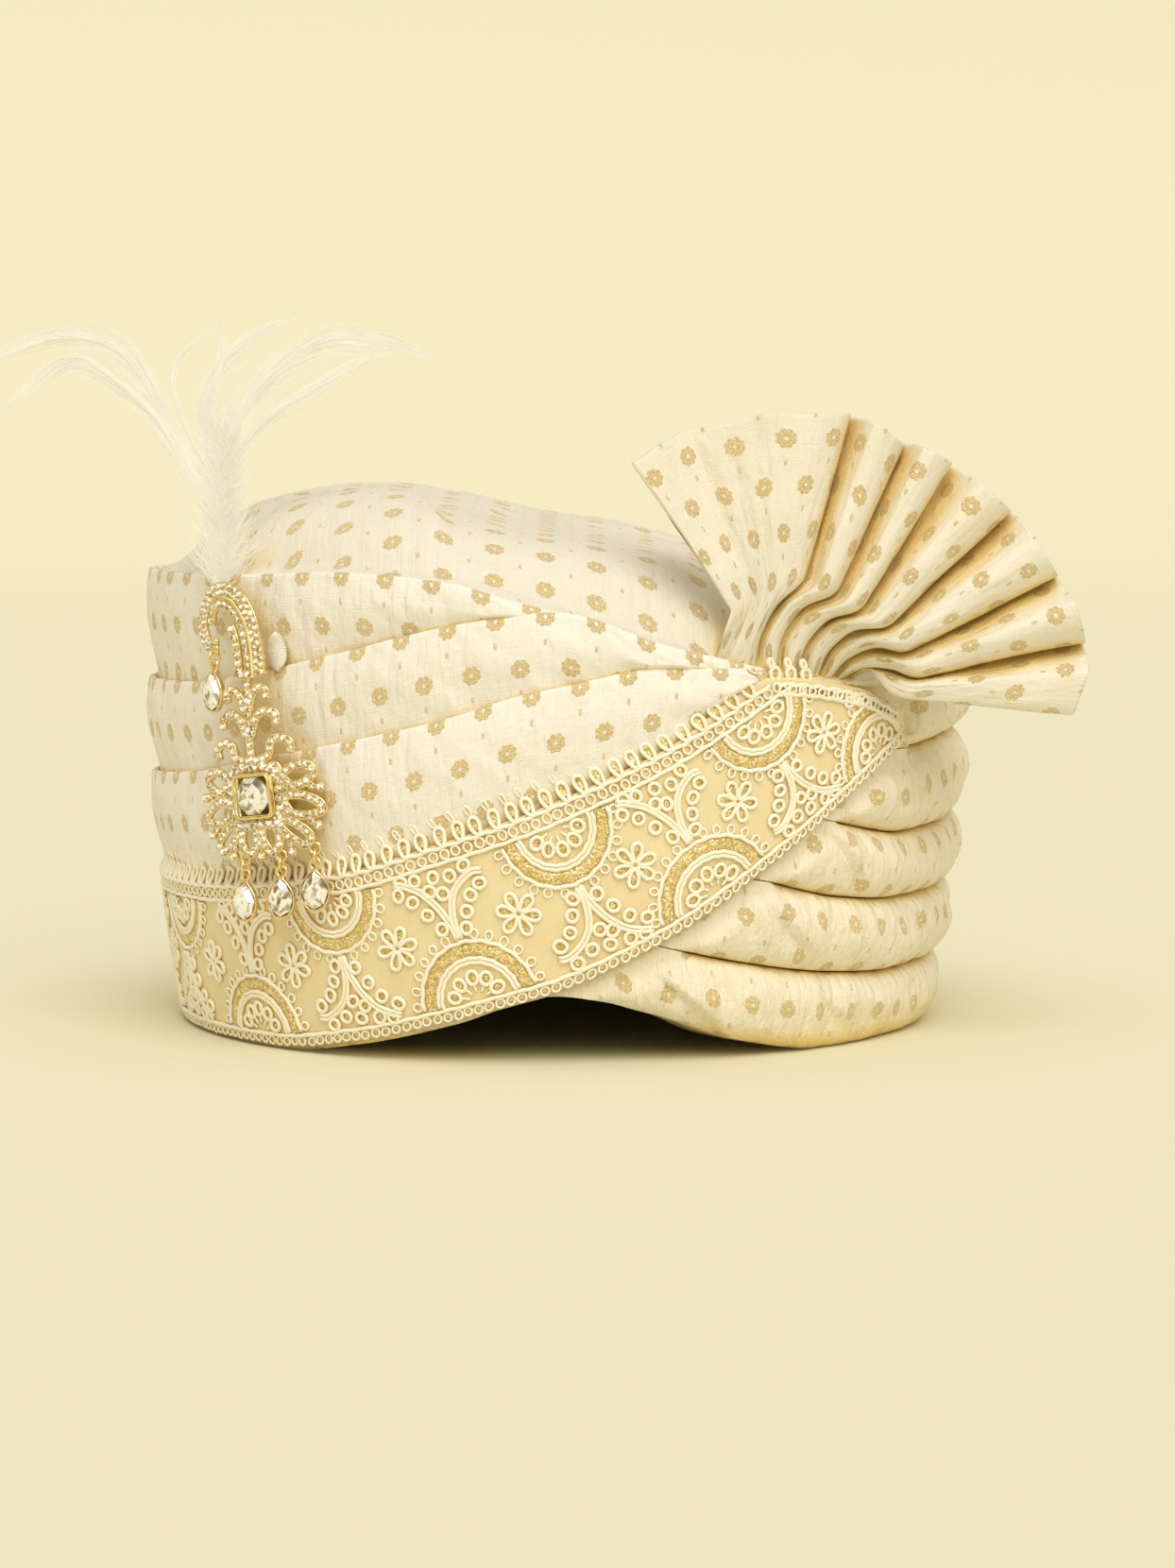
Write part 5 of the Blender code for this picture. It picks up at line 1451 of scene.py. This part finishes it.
rib(HOOK_OUTER, 0.00172, 0.0021, False, 2)
rib(HOOK_INNER, 0.00112, 0.0024)
rib(HOOK_LEFT, 0.00112, 0.0024)
rib(STEM, 0.00100, 0.0022)
rib(FOOT, 0.00105, 0.0023)
for path in SCROLLS:
    rib(path, 0.00098, 0.0021)
    rib(mirrored(path), 0.00098, 0.0021)
for path in PETALS:
    rib(path, 0.00100, 0.0021, True)
    rib(mirrored(path), 0.00100, 0.0021, True)
for k in range(24):
    angle = 2 * math.pi * (k + 0.5) / 24
    reach = 0.0098 + 0.0007 * math.cos(4 * angle)
    cut_stone((reach * math.cos(angle), reach * math.sin(angle), 0.0), 0.00095, PLATE * 0.7)
for root, tip, both in STALKS:
    for path in ((root, tip), mirrored((root, tip)))[:2 if both else 1]:
        line = flat_to_plate(path, PLATE * 0.5)
        wire(through(line, 6), 0.0006)
        cut_stone(line[1], 0.0012, PLATE * 0.75)
        cut_stone(line.mean(0), 0.0009, PLATE * 0.75)
bezel()

# The rope-like spine between the hook's rows.
spine = through(flat_to_plate(SPINE, PLATE * 1.1), 80)
for phase in (0.0, math.pi):
    turn = np.linspace(0.0, 20 * 2 * np.pi, 80) + phase
    twist = np.stack([np.cos(turn), np.zeros(80), np.sin(turn)], -1) * 0.00045
    wire(spine + twist, 0.00036)
for place in EYES.values():
    centre = flat_to_plate([place], PLATE / 2)[0]
    wire(ring_row(0.0016, PLATE / 2, centre, 16), 0.0005, True)

fit(bend_round(gold.make("brooch_gold_work", GOLD)), "gold", "brooch_setting")
fit(bend_round(stones.make("brooch_stones", SMALL_CRYSTAL, False)), "stone")
fit(bend_round(square_stone()), "stone", "centre_stone")


# Drops

DROP_LENGTH = 0.0120
DROP_WIDTH = 0.0090
RING_RADIUS = 0.0022
EYE_RADIUS = 0.0016


def pear(scale, z, count=20):
    """The outline of a drop at a height, as a share of its full size."""
    angle = even_angles(count) + math.pi / 2
    narrowing = 1 - 0.45 * np.maximum(np.sin(angle), 0.0) ** 1.5
    return np.stack([DROP_WIDTH / 2 * scale * np.cos(angle) * narrowing,
                     DROP_LENGTH / 2 * scale * np.sin(angle), np.full(count, z)], -1)


def drop_pieces(name, place):
    """A faceted pear stone in its cup, its eye, and the jump ring that it hangs on."""
    lean = -math.radians(BROOCH_LEAN)
    turn = np.array(((math.cos(lean), -math.sin(lean), 0), (math.sin(lean), math.cos(lean), 0),
                     (0, 0, 1)))
    down = turn @ np.array((0.0, -1.0, 0.0))
    hang = EYE_RADIUS + RING_RADIUS - 0.0015
    eye = flat_to_plate([place], PLATE / 2)[0]

    ring = Heap()
    angle = even_angles(28)
    circle = np.stack([0.0006 * np.sin(angle), np.cos(angle) * RING_RADIUS,
                       np.sin(angle) * RING_RADIUS], -1)
    tube(ring, (circle @ turn.T) + eye + down * hang, np.array((1.0, 0.0, 0.0)), 0.00042, True, 8)
    fit(bend_round(ring.make(f"drop_{name}_jump_ring", GOLD)), "gold", f"drop_ring_{name}")

    low_eye = eye + down * 2 * hang
    middle = low_eye + down * (EYE_RADIUS + DROP_LENGTH / 2) - UP * PLATE
    cup = Heap()
    rows = [pear(0.80, 0.0), pear(1.0, 0.0010), pear(1.02, 0.0021), pear(0.985, 0.0026),
            pear(0.93, 0.0023)]
    cup.add(np.stack(rows) @ turn.T + middle, grid_faces(5, 20, False, True).tolist()
            + [list(range(20))[::-1]])
    eye_ring = ring_row(EYE_RADIUS, low_eye[2], low_eye, 18)
    tube(cup, eye_ring, UP, 0.0005, True, 8)
    fit(bend_round(cup.make(f"drop_{name}_setting", GOLD)), "gold", f"drop_cup_{name}")

    gem = Heap()
    rows = np.concatenate([pear(0.93, 0.0021, 8), pear(0.90, 0.0027, 8), pear(0.66, 0.0038, 8),
                           pear(0.34, 0.0044, 8)])
    gem.add(rows @ turn.T + middle, facets(True) + [tuple(range(24, 32))])
    gem_piece = bend_round(gem.make(f"drop_{name}_crystal", CRYSTAL, False))
    fit(gem_piece, "stone", f"drop_stone_{name}")


for name, place in EYES.items():
    drop_pieces(name, place)


# Pin and wound pad

PAD_SIZE = np.array((0.0072, 0.0042, 0.0104))
PAD_AZIMUTH = -40.0
PAD_HEIGHT = 0.1175
PAD_BED_SHARE = 0.30
PAD_LEAN = 14.0
WRAP_FACE = LAP_BED - 2 * (WRAP_THICKNESS + CLEARANCE)


def pad_piece():
    """A thread-wound pad: a core with its windings."""
    turn = math.radians(PAD_AZIMUTH)
    lean = math.radians(-PAD_LEAN)
    about_z = np.array(((math.cos(turn), -math.sin(turn), 0), (math.sin(turn), math.cos(turn), 0),
                        (0, 0, 1)))
    about_y = np.array(((math.cos(lean), 0, math.sin(lean)), (0, 1, 0),
                        (-math.sin(lean), 0, math.cos(lean))))
    frame_of = about_z @ about_y
    lap_face = LAP_BED - CLEARANCE - WRAP_THICKNESS
    bed_depth = lap_face + (WRAP_FACE - lap_face) * PAD_BED_SHARE
    centre = on_body(PAD_AZIMUTH, PAD_HEIGHT, bed_depth - PAD_SIZE[1] / 2 - CLEARANCE)
    heap = Heap()
    rows, columns = 24, 28
    phi = np.linspace(0.12, np.pi - 0.12, rows)[:, None]
    theta = even_angles(columns)[None, :]
    body = np.stack(np.broadcast_arrays(np.sin(phi) * np.cos(theta), np.sin(phi) * np.sin(theta),
                                        np.cos(phi)), -1) * PAD_SIZE / 2 * 0.93
    heap.add(body @ frame_of.T + centre, grid_faces(rows, columns, False, True).tolist()
             + [list(range(columns)), list(range((rows - 1) * columns, rows * columns))[::-1]])
    turns = 22
    run = np.linspace(0.0, 1.0, turns * 16)
    angle = run * turns * 2 * np.pi
    polar = np.pi * (0.06 + 0.88 * run)
    wound = np.stack([np.sin(polar) * np.cos(angle), np.sin(polar) * np.sin(angle),
                      np.cos(polar) + 0.10 * np.cos(angle)], -1) * PAD_SIZE / 2 * 0.99
    tube(heap, wound @ frame_of.T + centre, unit(wound) @ frame_of.T, 0.00021, False, 5)
    fit(heap.make("pin_pad_windings", THREAD), "thread", "pin_pad")


pad_piece()
for material_slot in bpy.data.objects["brooch_pin"].material_slots:
    material_slot.material = GOLD


# Plume

PLUME_BASE_AZIMUTH = -50.0
# Each frond: its guide from the quill outwards as places (across, up) in millimetres, how far back
# its tip stands, how wide it is, and how many strands it has.
FRONDS = (
    (((-98, 158), (-107, 172), (-117, 190), (-127, 204), (-143, 208.5), (-160, 204), (-168, 198)),
     6, 5.5, 210),
    (((-98, 156), (-108, 170), (-116, 184), (-128, 195), (-139, 201), (-150, 195), (-160, 186)),
     -8, 4.0, 130),
    (((-98, 160), (-101, 177), (-102, 190), (-97, 200), (-87, 209), (-75, 215)), 4, 4.2, 170),
    (((-98, 160), (-97, 172), (-90, 188), (-79, 200), (-65, 207.5), (-48, 206.5), (-36, 202)),
     9, 6.0, 230),
    (((-98, 158), (-95, 170), (-84, 184), (-69, 194), (-55, 202), (-47, 204)), -3, 4.2, 130),
    (((-98, 160), (-106, 178), (-111, 192), (-110, 201), (-104, 207), (-98, 212), (-98.5, 217)),
     2, 1.6, 40),
    (((-98, 160), (-100, 180), (-98, 196), (-96.5, 208), (-97, 214)), 0, 3.0, 70),
)


def barb(heap, line, width, normals):
    """A thin tapering ribbon."""
    side = unit(np.cross(np.gradient(line, axis=0), normals))
    taper = width * (1 - 0.8 * np.linspace(0.0, 1.0, len(line))[:, None] ** 2)
    points = np.stack([line - side * taper / 2, line + side * taper / 2], 1)
    heap.add(points, grid_faces(len(line), 2).tolist())


def plume_piece():
    """Sleek fronds of long strands from one quill, with loose down round its foot."""
    heap = Heap()
    source = np.random.default_rng(17)
    depth = WRAP_FACE - 0.0012 - CLEARANCE
    root = on_body(PLUME_BASE_AZIMUTH, WALLS[5](PLUME_BASE_AZIMUTH) + 0.003, depth)
    front = np.array((0.0, -1.0, 0.0))
    for guide, back, width, strands in FRONDS:
        guide = np.array([(root[0], root[2])] + [(x * MM, z * MM) for x, z in guide])
        path = through(guide, 60)
        u = np.linspace(0.0, 1.0, 60)
        path = np.stack([path[:, 0], root[1] + back * MM * u**1.5, path[:, 1]], -1)
        across = unit(np.cross(front, np.gradient(path, axis=0)))
        tube(heap, path, front, 0.00022 * (1.15 - u), False, 5)
        shape = (0.30 + 0.70 * smoothstep(u / 0.6)) * smoothstep((1.12 - u) / 0.4)
        for _ in range(strands):
            start = source.uniform(0.05, 0.72)
            end = min(start + source.uniform(0.25, 0.50), source.uniform(0.90, 1.04))
            if end - start < 0.12:
                continue
            at = np.linspace(start, end, 11)
            line, sides = read_at(at, u, path), read_at(at, u, across)
            room = np.interp(at, u, shape)[:, None]
            off, off_back = source.normal(0.0, 0.42, 2)
            t = np.linspace(0.0, 1.0, 11)[:, None]
            spread = (t * (1.7 - 0.7 * t)) * room
            droop = -0.0018 * source.uniform(0.0, 1.0) * t**2
            line = line + sides * off * width * MM * spread
            line = line - front * off_back * width * MM * spread * 0.7
            line = line + UP * droop
            line = line + source.normal(0.0, 0.00010, 3) * t * 3
            facing = front + source.normal(0.0, 0.25, 3)
            barb(heap, line, source.uniform(0.00015, 0.00030), facing)
    for _ in range(2200):
        t = np.linspace(0.0, 1.0, 7)[:, None]
        angle = source.uniform(0, 2 * np.pi)
        share = source.uniform(0.0, 1.0) ** 1.2
        out = unit(np.array((math.cos(angle), math.sin(angle) * 0.6, source.uniform(0.0, 1.8))))
        reach = source.uniform(0.004, 0.014) * (1 - 0.35 * share)
        start = root + UP * (0.046 * share - 0.006)
        start = start + source.normal(0.0, 1.0, 3) * (0.0012, 0.0009, 0.0010)
        line = start + reach * (out * t + UP * 0.5 * t**2)
        line = line + source.normal(0.0, 0.0003, line.shape) * t
        barb(heap, line, source.uniform(0.00015, 0.00026), np.cross(out, (0.3, 0.2, 0.9)))
    quill = np.linspace(root - UP * 0.013, root + UP * 0.016, 12)
    tube(heap, quill, front, 0.0006, False, 8)
    fit(heap.make("plume_down", FEATHER), "feather", "plume")


plume_piece()


# Stage, light and camera

def stage():
    """A pale round floor that curves up into the backdrop on every side."""
    floor_radius, bend, wall_height, sides = 2.4, 0.6, 1.0, 96
    profile = [(0.0, 0.0), (0.5, 0.0), (floor_radius, 0.0)]
    for k in range(1, 13):
        angle = math.pi / 2 * k / 12
        profile.append((floor_radius + bend * math.sin(angle), bend - bend * math.cos(angle)))
    profile.append((floor_radius + bend, wall_height))
    points = np.array([[(r * math.cos(a), r * math.sin(a), z) for a in even_angles(sides)]
                       for r, z in profile])
    colour = (0.775, 0.735, 0.525)
    made, shader = new_material("backdrop", colour, 0.95, {
        "Specular IOR Level": 0.0, "Emission Color": (0.879, 0.815, 0.558, 1.0)})
    glow = climb(vector_maths("LENGTH", {0: object_place(made)}).outputs["Value"], 0.10, 0.21,
                 0.0, 0.60)
    feed(shader, {"Base Color": mix(minus(1.0, glow), (0.0, 0.0, 0.0, 1.0), (*colour, 1.0)),
                  "Emission Strength": glow})
    make_object("backdrop", points, grid_faces(len(profile), sides, False, True), made)


def lights():
    """A wide soft light from above the front and a little to the right, in a warm room."""
    scene = bpy.context.scene
    scene.world = bpy.data.worlds.new("studio")
    scene.world.use_nodes = True
    tree = scene.world.node_tree
    way = node("ShaderNodeTexCoord", {}, tree).outputs["Generated"]
    height = node("ShaderNodeSeparateXYZ", {0: way}).outputs[2]
    colour = mix(climb(height, 0.05, 0.85), (0.62, 0.52, 0.36, 1.0), (1.0, 0.95, 0.82, 1.0))
    feed(tree.nodes["Background"], {"Color": colour, "Strength": 0.70})
    key = bpy.data.lights.new("key", "SUN")
    key.energy = 1.85
    key.angle = math.radians(45)
    key.color = (1.0, 0.975, 0.93)
    lamp = bpy.data.objects.new("key", key)
    lamp.rotation_euler = Vector((-0.16, 0.80, -0.85)).to_track_quat("-Z", "Y").to_euler()
    scene.collection.objects.link(lamp)
    scene.view_settings.view_transform = "Standard"
    scene.view_settings.look = "None"
    scene.view_settings.exposure = 0.0
    scene.view_settings.gamma = 1.0


def camera():
    """The photograph's view: from 5 degrees above the level, 1.8 m away."""
    lens = bpy.data.cameras.new("camera")
    lens.sensor_fit = "VERTICAL"
    lens.sensor_height = 36.0
    lens.lens = 134.7
    lens.clip_end = 20.0
    obj = bpy.data.objects.new("camera", lens)
    aim, distance, tilt = Vector((0.009, 0.0, 0.070)), 1.8, math.radians(5.0)
    obj.location = aim + Vector((0.0, -math.cos(tilt), math.sin(tilt))) * distance
    obj.rotation_euler = (math.pi / 2 - tilt, 0.0, 0.0)
    bpy.context.scene.collection.objects.link(obj)
    bpy.context.scene.camera = obj


stage()
lights()
camera()
